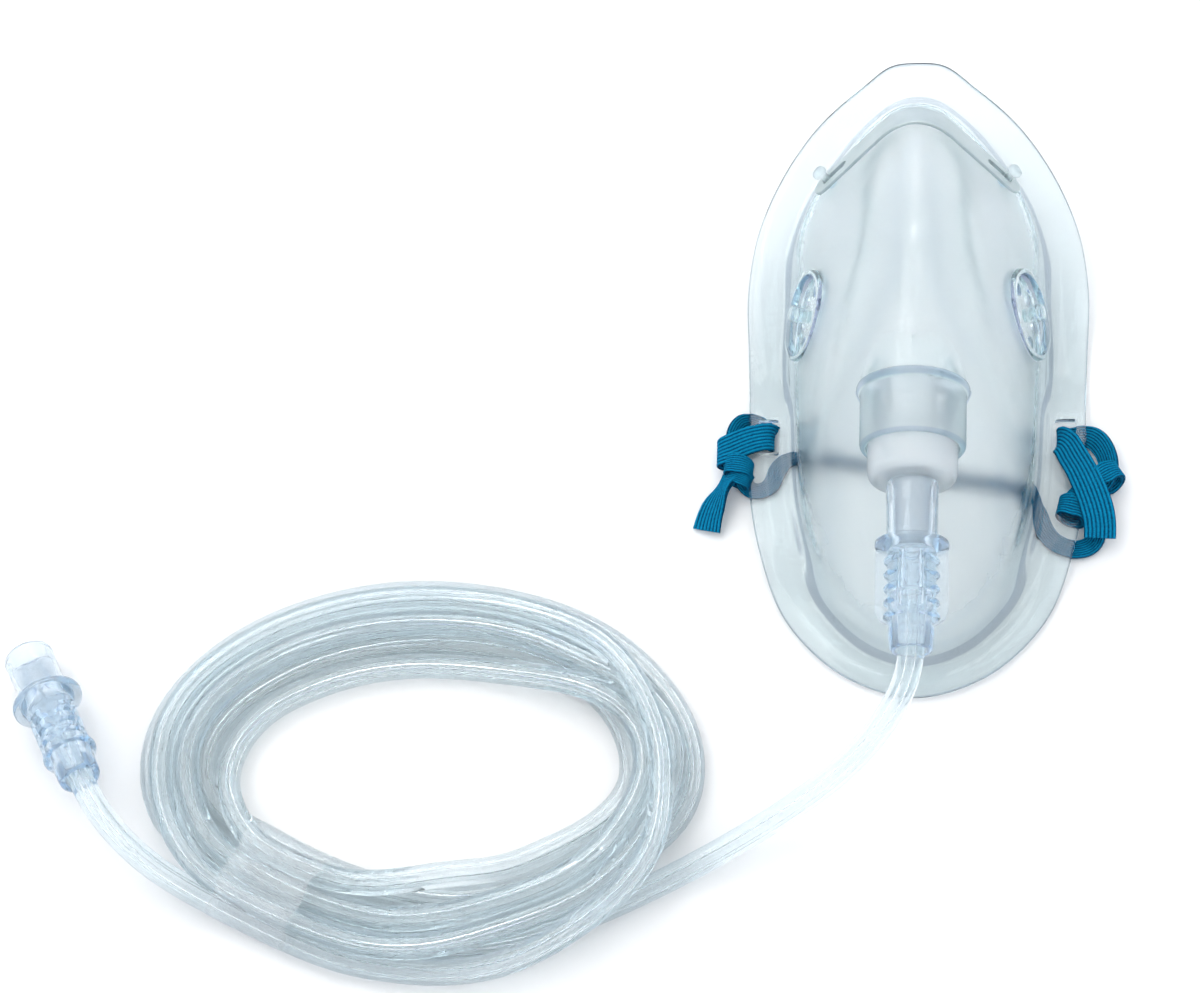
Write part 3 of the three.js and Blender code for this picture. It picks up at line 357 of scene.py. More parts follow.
def shell_plastic():
    """Soft moulded PVC: polished outside under a lightly etched haze, frosted collar, painted shade as a deeper tint
    where the vent wells' walls stand on edge, a greyer painted shade tint on the flange and the wall's foot, and
    painted dark lines on the collar's lip and mouth and along the rim edge.
    """
    m = Mat("clear_pvc_shell")
    def vec(op, a, b=None):
        n = m.node("ShaderNodeVectorMath", operation=op)
        for i, x in enumerate((a, b)):
            if x is None:
                continue
            if isinstance(x, tuple):
                n.inputs[i].default_value = x
            else:
                m.link(x, n.inputs[i])
        return n
    pos = m.coord.outputs["Object"]
    def height_and_radius(p, origin, axis):
        rel = vec("SUBTRACT", p, origin).outputs[0]
        h = vec("DOT_PRODUCT", rel, axis).outputs["Value"]
        sc = m.node("ShaderNodeVectorMath", operation="SCALE")
        sc.inputs[0].default_value = axis
        m.link(h, sc.inputs["Scale"])
        return h, vec("LENGTH", vec("SUBTRACT", rel, sc.outputs[0]).outputs[0]).outputs["Value"]
    h, r = height_and_radius(pos, (0, -0.03175, 0.039), (0, -0.99863, -0.052336))
    collar_here = m.math("MULTIPLY", m.range(h, 0, 1, -0.0121, -0.0116), m.range(r, 1, 0, 0.0122, 0.0126))
    mirrored = vec("ABSOLUTE", pos).outputs[0]
    sep = m.node("ShaderNodeSeparateXYZ")
    m.link(pos, sep.inputs[0])
    sm = m.node("ShaderNodeSeparateXYZ")
    m.link(mirrored, sm.inputs[0])
    comb = m.node("ShaderNodeCombineXYZ")
    for k, o in enumerate((sm.outputs[0], sep.outputs[1], sep.outputs[2])):
        m.link(o, comb.inputs[k])
    vh, vr = height_and_radius(comb.outputs[0], (0.0246579, 0.0133781, 0.0126813), (0.9185, 0.0271, 0.3944))
    near_vent = m.math("MULTIPLY", m.range(vr, 1, 0, 0.0103, 0.0105), m.range(vh, 0, 1, -0.0034, -0.003))
    # painted shade: the vent wells' walls, where they stand on edge, get a dark violet tint
    well_wall_painted_shade = m.math("MULTIPLY", m.math("MULTIPLY", m.range(vr, 0, 1, 0.0086, 0.0088), m.range(vr, 1, 0, 0.00935, 0.0094)),
                       m.math("MULTIPLY", m.range(vh, 0, 1, -0.00160, -0.00140), m.range(vh, 1, 0, 0.0004, 0.0006)))
    # painted shade: the walls of the vents' six holes get a dark blue tint
    hole_wall_painted_shade = m.math("MULTIPLY", m.range(vr, 1, 0, 0.0078, 0.0080),
                       m.math("MULTIPLY", m.range(vh, 0, 1, -0.00275, -0.00265), m.range(vh, 1, 0, -0.00165, -0.00155)))
    broad = m.noise(38.0, 1.0)
    haze = m.noise(170.0, 3.0, 0.65)
    speck = m.noise(1500.0, 2.0, 0.7)
    tint = m.ramp(m.range(broad, 0, 1), [(0.0, (0.966, 0.980, 0.982)), (1.0, (0.980, 0.988, 0.990))])
    tint = m.mix(m.range(speck, 0.0, 0.5, 0.60, 0.72), tint, (0.93, 0.965, 0.975))
    tint = m.mix(collar_here, tint, (0.990, 0.992, 1.0))
    # painted shade: a dark lilac line along the collar's lip bead
    lip_edge_painted_shade = m.math("MULTIPLY", m.math("MULTIPLY", m.range(h, 0, 1, -0.0141, -0.0138), m.range(h, 1, 0, -0.0124, -0.0120)),
                 m.math("MULTIPLY", m.range(r, 0, 1, 0.0112, 0.01135), m.range(r, 1, 0, 0.0122, 0.0124)))
    # painted shade: a dark ring round the collar's mouth
    mouth_edge_painted_shade = m.math("MULTIPLY", m.math("MULTIPLY", m.range(h, 0, 1, -0.0009, -0.0006), m.range(h, 1, 0, 0.0003, 0.0005)),
                   m.math("MULTIPLY", m.range(r, 0, 1, 0.0099, 0.0101), m.range(r, 1, 0, 0.0112, 0.0114)))
    tint = m.mix(m.math("MULTIPLY", lip_edge_painted_shade, 0.60), tint, (0.34, 0.40, 0.60))
    tint = m.mix(m.math("MULTIPLY", mouth_edge_painted_shade, 0.50), tint, (0.40, 0.47, 0.66))
    tint = m.mix(m.math("MULTIPLY", well_wall_painted_shade, 0.92), tint, (0.12, 0.15, 0.34))
    tint = m.mix(m.math("MULTIPLY", hole_wall_painted_shade, 0.85), tint, (0.20, 0.25, 0.46))
    def smooth(fac, lo, hi):
        r = m.node("ShaderNodeMapRange", interpolation_type="SMOOTHSTEP")
        r.inputs["From Min"].default_value, r.inputs["From Max"].default_value = lo, hi
        m.link(fac, r.inputs["Value"])
        return r.outputs["Result"]
    rise = m.math("MULTIPLY", m.math("POWER", m.math("MAXIMUM", m.math("DIVIDE", sep.outputs[1], 0.072), 0.0), 1.8), 0.022)
    lift = m.math("MULTIPLY", m.math("MULTIPLY", smooth(sep.outputs[1], -0.050, -0.036), smooth(sep.outputs[1], 0.005, -0.007)), 0.0018)
    over_rim = m.math("SUBTRACT", m.math("SUBTRACT", sep.outputs[2], rise), lift)
    low = m.range(over_rim, 1, 0, 0.0035, 0.011)          # the flange and the wall's foot are clearer
    # painted shade: a thin dark line along the rim's rounded edge
    rim_edge_painted_shade = m.math("MULTIPLY", m.range(over_rim, 0, 1, 0.00012, 0.00025), m.range(over_rim, 1, 0, 0.00112, 0.00128))
    # painted shade: the flange and the wall's foot are tinted greyer, holding down the bright floor seen through them
    tint = m.mix(m.math("MULTIPLY", low, 0.85), tint, (0.915, 0.950, 0.960))
    tint = m.mix(m.math("MULTIPLY", rim_edge_painted_shade, 0.55), tint, (0.20, 0.27, 0.40))
    rough = m.range(haze, 0.32, 0.42, 0.40, 0.72)
    def switch(mask, a, b):
        return m.math("ADD", m.math("MULTIPLY", a, m.math("SUBTRACT", 1.0, mask)), m.math("MULTIPLY", mask, b))
    rough = switch(low, rough, m.range(haze, 0.04, 0.09, 0.40, 0.72))
    rough = switch(collar_here, rough, m.range(haze, 0.34, 0.44))
    rough = switch(near_vent, rough, 0.03)
    m.set(Base_Color=tint, Roughness=rough, IOR=1.36, Transmission_Weight=0.985, Coat_Weight=0.30, Coat_Roughness=0.035)
    m.bsdf.inputs["Coat IOR"].default_value = 1.5
    m.bump([(m.noise(90.0, 1.0), 0.000012), (speck, 0.000001)])
    m.absorb((0.16, 0.74, 0.82), 36.0)
    return m.m


shell_mat = shell_plastic()
conn_mat = clear_plastic("bluish_pvc_connector", (0.905, 0.945, 0.970), (0.925, 0.955, 0.980), (0.07, 0.13), 1.34, (0.20, 0.60, 0.86), 58.0, 0.00001, 0.000002, milk=0.12, coat=0.4)
tube_mat = clear_plastic("clear_pvc_tube", (0.972, 0.993, 1.0), (0.982, 0.997, 1.0), (0.05, 0.10), 1.22, (0.02, 0.72, 0.97), 19.0, 0.000002, milk=0.07, coat=0.30)


def milky_plastic():
    m = Mat("frosted_swivel_plastic")
    broad = m.noise(70.0, 2.0)
    fine = m.noise(1200.0, 2.0)
    m.set(Base_Color=m.ramp(m.range(broad, 0, 1), [(0.0, (0.945, 0.968, 0.976)), (1.0, (0.960, 0.976, 0.984))]),
          Roughness=m.range(broad, 0.32, 0.42), IOR=1.34, Transmission_Weight=0.74)
    m.bump([(broad, 0.00002), (fine, 0.000003)])
    m.absorb((0.2, 0.75, 0.9), 14.0)
    return m.m


def satin_aluminium():
    m = Mat("satin_aluminium")
    brush = m.noise(420.0, 6.0, 0.7, (0.06, 1.6, 1.6))
    spots = m.noise(90.0, 5.0)
    m.set(Base_Color=m.ramp(m.range(spots, 0, 1), [(0.0, (0.50, 0.575, 0.575)), (1.0, (0.60, 0.665, 0.665))]),
          Metallic=1.0, Roughness=m.math("ADD", m.range(brush, 0.42, 0.55), m.range(spots, 0.0, 0.05)))
    m.bump([(brush, 0.000008), (spots, 0.00002)])
    return m.m


def tape_film():
    m = Mat("clear_tape_film")
    specks = m.noise(1500.0, 1.0, 0.6)
    creases = m.noise(170.0, 2.0, 0.6, (1.0, 1.0, 2.2))
    m.set(Base_Color=m.ramp(m.range(creases, 0, 1), [(0.0, (0.86, 0.92, 0.95)), (1.0, (0.95, 0.98, 0.99))]),
          Roughness=m.math("ADD", m.range(creases, 0.04, 0.12), m.range(specks, 0.0, 0.16, 0.66, 0.74)),
          IOR=1.45, Alpha=0.10)
    m.bump([(creases, 0.00005)])
    return m.m


def elastic():
    """Ribbed woven elastic, with painted shade in the grooves between its ribs. The UV is across and along the band in
    millimetres.
    """
    m = Mat("ribbed_elastic")
    sep = m.node("ShaderNodeSeparateXYZ")
    m.link(m.coord.outputs["UV"], sep.inputs[0])
    u, v = sep.outputs[0], sep.outputs[1]
    rib = m.math("SINE", m.math("MULTIPLY", u, 2 * math.pi / 0.8125))       # eight ribs across
    rib = m.math("ABSOLUTE", m.math("SINE", m.math("MULTIPLY", u, math.pi / 0.8125)))
    knit = m.math("SINE", m.math("ADD", m.math("MULTIPLY", v, 2 * math.pi / 0.42), m.math("MULTIPLY", rib, 2.6)))
    broad = m.noise(60.0, 4.0)
    fuzz = m.noise(2600.0, 6.0, 0.7)
    # the band's dark teal, painted near black in the grooves between the ribs (painted shade) and lighter on the rib
    # crests (painted highlight)
    base = m.ramp(m.range(m.math("ADD", m.math("MULTIPLY", rib, 0.6), m.math("MULTIPLY", m.range(fuzz, 0, 1), 0.4)), 0, 1, 0.0, 1.0),
                  [(0.0, (0.0001, 0.007, 0.020)), (0.26, (0.0002, 0.015, 0.040)), (0.58, (0.0008, 0.110, 0.230)), (0.92, (0.003, 0.260, 0.470))])
    tint = m.mix(m.range(broad, 0.0, 0.25), base, (0.002, 0.17, 0.34))
    # lighter on the knit's crests where the fuzz is high
    knit_crest_lighter = m.mix(m.range(m.math("MULTIPLY", m.range(knit, 0, 1, -1, 1), m.range(fuzz, 0, 1)), 0.0, 0.30, 0.3, 0.8), tint, (0.01, 0.30, 0.52))
    m.set(Base_Color=knit_crest_lighter, Roughness=m.range(fuzz, 0.72, 0.92), IOR=1.45, Sheen_Weight=0.0, Sheen_Roughness=0.5, Specular_IOR_Level=0.06)
    m.bsdf.inputs["Sheen Tint"].default_value = (0.35, 0.75, 0.95, 1)
    m.bump([(m.range(knit, 0, 1, -1, 1), 0.00005), (fuzz, 0.00003)])
    return m.m


adapter_mat, clip_mat, tape_mat, strap_mat = milky_plastic(), satin_aluminium(), tape_film(), elastic()

# ------------------------------------------------------------------ the tube
TUBE_R = 2.7
ROUTE = [
    (0.0, -63.3, 37.35), (0.0, -69.2, 37.03), (0.0, -75.2, 36.72), (-1.0, -80.9, 35.19),
    (-3.4, -85.4, 32.12), (-6.5, -88.9, 28.35), (-13.0, -93.8, 20.98), (-20.6, -97.7, 14.02),
    (-29.1, -101.7, 8.35), (-38.4, -106.3, 4.67), (-48.0, -111.3, 2.99), (-57.7, -116.4, 2.76),
    (-67.6, -121.2, 2.76), (-77.8, -125.4, 2.76), (-88.6, -127.6, 2.76), (-99.5, -127.6, 2.76),
    (-110.4, -125.8, 2.76), (-121.0, -123.0, 2.76), (-131.2, -119.0, 2.76), (-140.9, -113.7, 2.76),
    (-149.9, -107.4, 2.76), (-157.6, -99.6, 2.76), (-160.8, -89.2, 2.76), (-159.3, -78.4, 2.76),
    (-153.8, -68.9, 2.76), (-145.9, -61.3, 2.76), (-136.5, -55.6, 2.76), (-126.3, -51.6, 2.76),
    (-115.6, -49.2, 2.76), (-104.6, -48.4, 2.76), (-93.6, -49.2, 2.76), (-82.9, -51.3, 2.76),
    (-72.5, -54.9, 2.76), (-63.0, -60.5, 2.76), (-55.0, -68.0, 2.76), (-48.9, -77.1, 2.76),
    (-46.1, -87.6, 2.76), (-48.4, -98.3, 2.76), (-55.7, -106.3, 2.76), (-64.8, -112.6, 2.76),
    (-74.3, -118.0, 2.76), (-84.7, -121.6, 2.76), (-95.6, -122.5, 2.76), (-106.5, -121.1, 2.76),
    (-117.2, -118.5, 2.76), (-127.5, -114.7, 2.76), (-137.2, -109.6, 2.76), (-146.4, -103.5, 2.76),
    (-153.8, -95.5, 2.76), (-155.3, -84.8, 2.76), (-151.3, -74.6, 2.76), (-143.7, -66.7, 2.76),
    (-134.2, -61.1, 2.76), (-123.9, -57.3, 2.76), (-113.2, -55.1, 2.76), (-102.2, -54.4, 2.76),
    (-91.2, -55.2, 2.76), (-80.5, -57.6, 2.76), (-70.5, -62.0, 2.76), (-61.9, -68.8, 2.76),
    (-55.7, -77.9, 2.76), (-52.8, -88.4, 2.76), (-56.0, -98.7, 2.76), (-64.2, -105.9, 2.76),
    (-73.6, -111.6, 2.76), (-83.8, -115.8, 2.76), (-94.7, -117.2, 2.76), (-105.6, -115.9, 2.76),
    (-116.2, -113.1, 2.76), (-126.4, -109.0, 2.76), (-136.1, -103.9, 2.76), (-145.3, -97.8, 2.76),
    (-149.6, -88.0, 2.76), (-146.2, -77.7, 2.76), (-138.3, -70.2, 2.76), (-128.7, -64.9, 2.76),
    (-118.2, -61.5, 2.76), (-107.4, -59.9, 2.76), (-96.4, -60.0, 2.76), (-85.5, -61.8, 2.76),
    (-75.2, -65.6, 2.76), (-66.3, -72.0, 2.76), (-60.2, -81.1, 2.76), (-59.1, -91.8, 2.76),
    (-65.5, -100.5, 2.76), (-74.9, -106.1, 2.76), (-85.0, -110.5, 3.21), (-95.3, -113.0, 5.99),
    (-105.8, -115.4, 8.07), (-116.7, -115.4, 7.64), (-127.1, -111.9, 7.37), (-136.7, -106.5, 7.63),
    (-142.6, -97.6, 6.61), (-144.0, -87.4, 3.09), (-139.0, -77.8, 2.76), (-130.1, -71.5, 2.76),
    (-119.8, -67.5, 2.76), (-109.0, -65.5, 2.76), (-98.0, -65.4, 2.77), (-87.2, -66.9, 3.87),
    (-76.8, -69.3, 6.35), (-66.5, -72.9, 8.01), (-58.1, -79.7, 7.58), (-55.6, -90.2, 7.45),
    (-59.0, -100.5, 7.98), (-65.6, -109.3, 7.73), (-74.8, -115.3, 7.42), (-84.9, -119.4, 7.72),
    (-95.5, -122.5, 8.13), (-106.4, -123.4, 7.70), (-117.2, -121.4, 7.44), (-127.5, -117.7, 7.45),
    (-137.3, -112.7, 7.43), (-146.1, -106.2, 7.75), (-151.3, -96.6, 7.85), (-152.6, -85.8, 7.40),
    (-148.5, -75.7, 7.31), (-140.5, -68.1, 7.30), (-131.0, -62.7, 7.39), (-120.6, -59.2, 7.45),
    (-109.7, -57.4, 7.45), (-98.7, -57.2, 7.45), (-87.8, -58.5, 7.46), (-77.4, -61.8, 7.46),
    (-67.4, -66.6, 7.72), (-57.8, -71.9, 7.88), (-51.1, -80.3, 7.12), (-49.6, -91.1, 6.97),
    (-53.4, -101.4, 7.57), (-59.3, -110.6, 7.93), (-67.6, -117.7, 7.39), (-77.5, -122.5, 7.50),
    (-87.8, -126.4, 8.04), (-98.4, -129.1, 7.96), (-109.4, -129.1, 7.29), (-120.1, -126.6, 7.12),
    (-130.3, -122.7, 7.29), (-140.2, -117.9, 7.11), (-149.0, -111.4, 7.44), (-155.0, -102.3, 8.06),
    (-157.9, -91.7, 7.52), (-157.2, -80.8, 7.44), (-152.1, -71.1, 7.43), (-144.1, -63.6, 7.36),
    (-134.7, -58.0, 7.26), (-124.3, -54.2, 7.21), (-113.6, -52.0, 7.23), (-102.6, -51.4, 7.31),
    (-91.6, -52.3, 7.39), (-80.9, -54.8, 7.82), (-71.1, -59.2, 9.67), (-62.9, -66.0, 12.52),
    (-56.6, -74.9, 12.78), (-52.6, -85.0, 11.68), (-51.5, -95.9, 12.34), (-52.7, -106.8, 12.23),
    (-58.1, -116.1, 10.59), (-66.3, -123.1, 8.63), (-75.5, -128.7, 6.66), (-85.7, -132.3, 4.56),
    (-96.5, -133.3, 3.03), (-107.5, -132.6, 2.76), (-118.3, -130.5, 2.76), (-128.6, -126.7, 2.76),
    (-138.6, -122.2, 3.21), (-148.4, -117.7, 5.33), (-157.6, -112.8, 8.94), (-165.5, -106.4, 12.82),
    (-169.3, -101.9, 14.18), (-172.5, -96.9, 14.22), (-175.3, -91.8, 12.87), (-178.8, -85.3, 11.04),
]
TAIL = np.array((0.0, -75.439, 36.710))
tube_path, tube_s = spline(ROUTE, 2.0)
# the turns stand a little clear of the floor where the tape passes under them
TAPE_AT = np.array((-132.0, -116.6))
lift = 0.42 * np.exp(-(np.hypot(*(tube_path[:, :2] - TAPE_AT).T) / 19.0) ** 4)
tube_path[:, 2] = np.maximum(tube_path[:, 2], TUBE_R + 0.06) + lift * (tube_path[:, 2] < 10)
_, tn, tb = frames(tube_path)
spin = 0.5 * np.sin(tube_s / 97.0) + 0.35 * np.sin(tube_s / 41.0 + 1.0)
ck, sk = np.cos(spin)[:, None], np.sin(spin)[:, None]
tn, tb = tn * ck + tb * sk, tb * ck - tn * sk
K = 36
ang = np.arange(K) / K * 2 * math.pi
lumen = 1.22 + 0.26 * np.cos(6 * ang)   # star-shaped bore
rings = []
for rad in (np.full(K, TUBE_R), lumen):
    rings.append(tube_path[:, None] + tn[:, None] * (rad * np.cos(ang))[None, :, None] + tb[:, None] * (rad * np.sin(ang))[None, :, None])
nr = len(tube_path)
outer_f = grid(nr, K)
inner_f = grid(nr, K, base=nr * K)[:, ::-1]
i = np.arange(K)
j = (i + 1) % K
cap0 = np.stack([i, i + nr * K, j + nr * K, j], -1)
cap1 = np.stack([i, j, j + nr * K, i + nr * K], -1) + (nr - 1) * K
tube = add_mesh("supply_tube", np.concatenate([rings[0].reshape(-1, 3), rings[1].reshape(-1, 3)]),
                np.concatenate([outer_f, inner_f, cap0, cap1]), tube_mat, sharp=50)
if face_out(tube).data.polygons[0].normal.dot(Vector(tn[0] * math.cos(ang[0]) + tb[0] * math.sin(ang[0]))) < 0:
    tube.data.flip_normals()

# ------------------------------------------------------------------ the shell's surface
WALL, NOSE_RISE, RIM_LIFT = 1.4, 22.0, 1.8
# sections from the nose tip round the right side to the chin: rim edge, then the flange's inner edge and up to the ridge
KEYS = [
    ([0, 71.15], [[0, 65.2, 0], [0, 63.6, 20.0], [0, 61.2, 23.0], [0, 58.6, 26.2], [0, 56.1, 28.8], [0, 53.4, 31.0], [0, 50.1, 33.2]]),
    ([5.4, 70.7], [[4.2, 64.3, 0], [3.7, 62.8, 19.9], [3.1, 60.4, 23.2], [2.5, 58.0, 26.6], [1.9, 55.8, 29.4], [1.2, 53.2, 31.6], [0, 50.0, 33.3]]),
    ([12.6, 66.2], [[9.3, 61.1, 0], [8.5, 59.9, 19.0], [7.4, 58.2, 22.6], [6.3, 56.2, 26.4], [5.0, 54.0, 29.6], [2.9, 51.9, 32.1], [0, 49.8, 33.7]]),
    ([21.6, 59.1], [[17.1, 54.5, 0], [16.0, 53.5, 14.9], [14.3, 51.7, 18.2], [12.1, 49.7, 22.4], [9.5, 47.6, 27.2], [5.6, 45.4, 33.0], [0, 43.8, 37.0]]),
    ([29.4, 49.2], [[24.2, 45.7, 0], [23.1, 45.0, 11.3], [21.5, 43.7, 15.0], [18.6, 41.7, 19.9], [12.6, 39.0, 26.4], [8.2, 37.4, 34.4], [0, 36.6, 40.1]]),
    ([35.1, 37.0], [[29.1, 34.3, 0], [27.9, 33.8, 7.4], [25.6, 32.7, 12.2], [20.8, 31.1, 19.4], [12.5, 29.4, 28.2], [8.6, 28.6, 37.0], [0, 28.2, 42.6]]),
    ([37.4, 22.6], [[29.3, 20.4, 0], [28.0, 20.2, 5.0], [25.1, 19.7, 11.6], [20.2, 19.1, 21.2], [12.8, 18.5, 30.6], [9.2, 18.2, 39.7], [0, 18.0, 45.8]]),
    ([37.0, 10.5], [[29.7, 9.6, 0], [28.5, 9.5, 3.5], [26.1, 9.3, 9.4], [21.4, 9.0, 20.4], [15.2, 8.7, 31.6], [10.4, 8.5, 41.2], [0, 8.4, 48.7]]),
    ([36.4, -4.2], [[29.0, -4.2, 0], [27.9, -4.2, 3.0], [25.6, -4.2, 9.8], [21.9, -4.2, 20.8], [17.4, -4.0, 33.2], [12.0, -3.0, 43.7], [0, -1.0, 51.0]]),
    ([36.3, -19.4], [[28.6, -19.4, 0], [27.4, -19.4, 3.2], [25.2, -18.8, 9.8], [22.4, -17.6, 18.8], [18.6, -14.8, 31.2], [12.6, -11.0, 44.2], [0, -6.0, 51.6]]),
    ([33.5, -37.9], [[26.6, -35.0, 0], [25.4, -34.3, 2.9], [23.2, -32.6, 8.8], [19.7, -29.0, 15.4], [16.0, -19.9, 27.2], [10.5, -14.6, 44.6], [0, -8.5, 51.6]]),
    ([27.0, -54.5], [[21.7, -49.4, 0], [20.6, -48.4, 2.8], [18.4, -45.6, 8.2], [14.8, -38.0, 14.8], [11.0, -21.9, 25.6], [7.5, -16.8, 44.8], [0, -9.8, 51.5]]),
    ([14.2, -66.8], [[11.1, -60.8, 0], [10.5, -59.5, 2.8], [9.3, -56.3, 7.6], [7.6, -44.4, 13.6], [5.6, -23.6, 24.2], [3.9, -17.8, 45.0], [0, -10.8, 51.3]]),
    ([0, -71.15], [[0, -64.3, 0], [0, -62.9, 2.8], [0, -59.2, 7.4], [0, -46.2, 13.2], [0, -24.2, 24.0], [0, -18.2, 45.2], [0, -11.4, 51.2]]),
]
NK = len(KEYS)
LOOP = [[(r[0], r[1], 0)] + list(p) for r, p in KEYS]
LOOP += [[(-x, y, z) for x, y, z in LOOP[k]] for k in range(NK - 2, 0, -1)]
LOOP = np.array(LOOP, float)
NL = len(LOOP)
seg_len = np.linalg.norm(np.roll(LOOP[:, 0], -1, 0) - LOOP[:, 0], axis=1)
KNOTS = np.r_[0, np.cumsum(seg_len)]
LENGTH = KNOTS[-1]


def tangent(p0, p1, p2, h0, h1):
    return (p1 - p0) * (h1 / (h0 * (h0 + h1))) + (p2 - p1) * (h0 / (h1 * (h0 + h1)))


def hermite(p0, m0, p1, m1, h, t):
    t2, t3 = t * t, t * t * t
    return p0 * (2 * t3 - 3 * t2 + 1) + m0 * (h * (t3 - 2 * t2 + t)) + p1 * (-2 * t3 + 3 * t2) + m1 * (h * (t3 - t2))


ROW_T = tangent(np.roll(LOOP, 1, 0), LOOP, np.roll(LOOP, -1, 0), np.roll(seg_len, 1)[:, None, None], seg_len[:, None, None])


def smooth01(t):
    c = np.clip(t, 0, 1)
    return c * c * (3 - 2 * c)


def rim_z(y):
    return np.where(y > 0, NOSE_RISE * (np.maximum(y, 0) / 72) ** 1.8, 0) + RIM_LIFT * smooth01((y + 50) / 14) * smooth01((5 - y) / 12)


def section(s):
    u = np.mod(s, LENGTH)
    i = np.clip(np.searchsorted(KNOTS, u, side="right") - 1, 0, NL - 1)
    h = (KNOTS[i + 1] - KNOTS[i])[:, None, None]
    t = (u - KNOTS[i])[:, None, None] / h
    j = (i + 1) % NL
    q = hermite(LOOP[i], ROW_T[i], LOOP[j], ROW_T[j], h, t)
    q[:, 0, 2] = rim_z(q[:, 0, 1]) + WALL
    q[:, 1, 2] = rim_z(q[:, 1, 1]) + WALL
    return q


def surface(s, v):
    s = np.atleast_1d(np.asarray(s, float))
    q = section(s)
    if v <= 1:
        return q[:, 0] * (1 - max(0, v)) + q[:, 1] * max(0, v)
    q8 = q[:, 6] * np.array([-1, 1, 1])
    flat = np.abs(q[:, 6, 0]) < 1e-6
    q8[flat] = (2 * q[:, 7] - q[:, 6])[flat]
    q = np.concatenate([q, q8[:, None]], 1)
    k = min(6, int(v))
    def dist(a, b):
        return np.linalg.norm(q[:, b] - q[:, a], axis=1)[:, None]
    def tan(i):
        if i == 1:
            return unit(q[:, 1] - q[:, 0])
        return tangent(q[:, i - 1], q[:, i], q[:, i + 1], dist(i - 1, i), dist(i, i + 1))
    return hermite(q[:, k], tan(k), q[:, k + 1], tan(k + 1), dist(k, k + 1), v - k)


def raw_normal(s, v):
    v1 = min(7, v + 0.02)
    return unit(np.cross(surface(s + 0.2, v) - surface(s - 0.2, v), surface(s, v1) - surface(s, max(1.001, v1 - 0.04))))


N_SIGN = 1.0 if raw_normal(np.array([KNOTS[7]]), 4)[0, 0] > 0 else -1.0


def outward(s, v):
    s = np.atleast_1d(np.asarray(s, float))
    if v > 6.999:
        a, b = surface(s - 1.5, 7), surface(s + 1.5, 7)
        d = np.where((a[:, 1] > b[:, 1])[:, None], a - b, b - a)
        d[:, 0] = 0
        n = np.stack([0 * d[:, 0], -d[:, 2], d[:, 1]], 1)
        n[np.linalg.norm(d, axis=1) < 0.05] = (0, 0.35, 0.94)
        return unit(n)
    return raw_normal(s, v) * N_SIGN


SEG = 288
HALF = SEG // 2
STATIONS = np.r_[np.arange(HALF + 1) / HALF * LENGTH / 2, LENGTH / 2 + np.arange(1, HALF) / HALF * LENGTH / 2]


def weld(ring):
    ring = ring.copy()
    ring[:, 0] = 0
    for i in range(1, HALF):
        ring[SEG - i] = ring[i]
    return ring


def shell_volume(rings):
    """Solid from the lowest ring, closed by strips, up to the ridge."""
    verts = np.concatenate(rings)
    faces = grid(len(rings), SEG).tolist()
    R = list(range(SEG))
    faces.append((R[0], R[1], R[SEG - 1]))
    for i in range(1, HALF - 1):
        faces.append((R[i], R[i + 1], R[SEG - i - 1], R[SEG - i]))
    faces.append((R[HALF - 1], R[HALF], R[HALF + 1]))
    ob = solid(verts, faces)
    bm = bmesh.new()
    bm.from_mesh(ob.data)
    bmesh.ops.dissolve_degenerate(bm, dist=1e-8, edges=bm.edges)
    bmesh.ops.triangulate(bm, faces=bm.faces)
    bm.to_mesh(ob.data)
    bm.free()
    return ob


q0, q1 = surface(STATIONS, 0), surface(STATIONS, 1)
inward = (q1 - q0) * np.array([1, 1, 0])
inward = unit(inward)
edge = []
for k in range(7):                       # rounded outer edge of the flange
    a = math.pi * (k / 6 - 0.5)
    p = q0 + inward * (0.7 - 0.7 * math.cos(a))
    p[:, 2] = rim_z(p[:, 1]) + 0.7 + 0.7 * math.sin(a)
    edge.append(p)
V_UP = [1.0]
for k, cuts in ((1, 6), (2, 7), (3, 8), (4, 9), (5, 9), (6, 8)):
    V_UP += [k + (i + 1) / cuts for i in range(cuts)]
V_UP = [v for v in V_UP if v <= 6.9 or v == 7.0]


def eased(ring, v):
    """The wall's rows are evened out along the rim between the flange and the ridge."""
    w = float(smooth01((v - 1.0) / 1.2) * (1 - smooth01((v - 5.9) / 1.0)))
    if w <= 0:
        return ring
    p = ring.copy()
    for _ in range(60):
        p = (np.roll(p, 1, 0) + 2 * p + np.roll(p, -1, 0)) / 4
    w = w * smooth01((np.abs((ring - np.array([0, 49.8, 33.7])) @ np.array([0, -0.8660254, 0.5])) - 4.5) / 6)[:, None]   # the nose clip's seat stays
    return ring * (1 - w) + p * w


flange = []
for v in (0.12, 0.25, 0.38, 0.5, 0.62, 0.75, 0.88):
    p = surface(STATIONS, v)
    p[:, 2] += 0.42 * math.sin(math.pi * v) ** 2 - 0.12 * math.sin(3 * math.pi * v) ** 2
    flange.append(p)
outer_rings = edge + flange + [eased(surface(STATIONS, v), v) for v in V_UP]
outer_rings[-1] = weld(outer_rings[-1])
inner_v = [v for v in V_UP if v == 1.0 or v >= 1.45]
inner_rings = []
for v in inner_v:
    p = surface(STATIONS, v)
    if v == 1.0:
        p[:, 2] = rim_z(p[:, 1])
    else:
        p = eased(p, v) - outward(STATIONS, v) * WALL
    inner_rings.append(p)
inner_rings[-1] = weld(inner_rings[-1])
low = inner_rings[0].copy()
low[:, 2] -= 6
shell = shell_volume(outer_rings)
cavity = shell_volume([low] + inner_rings)

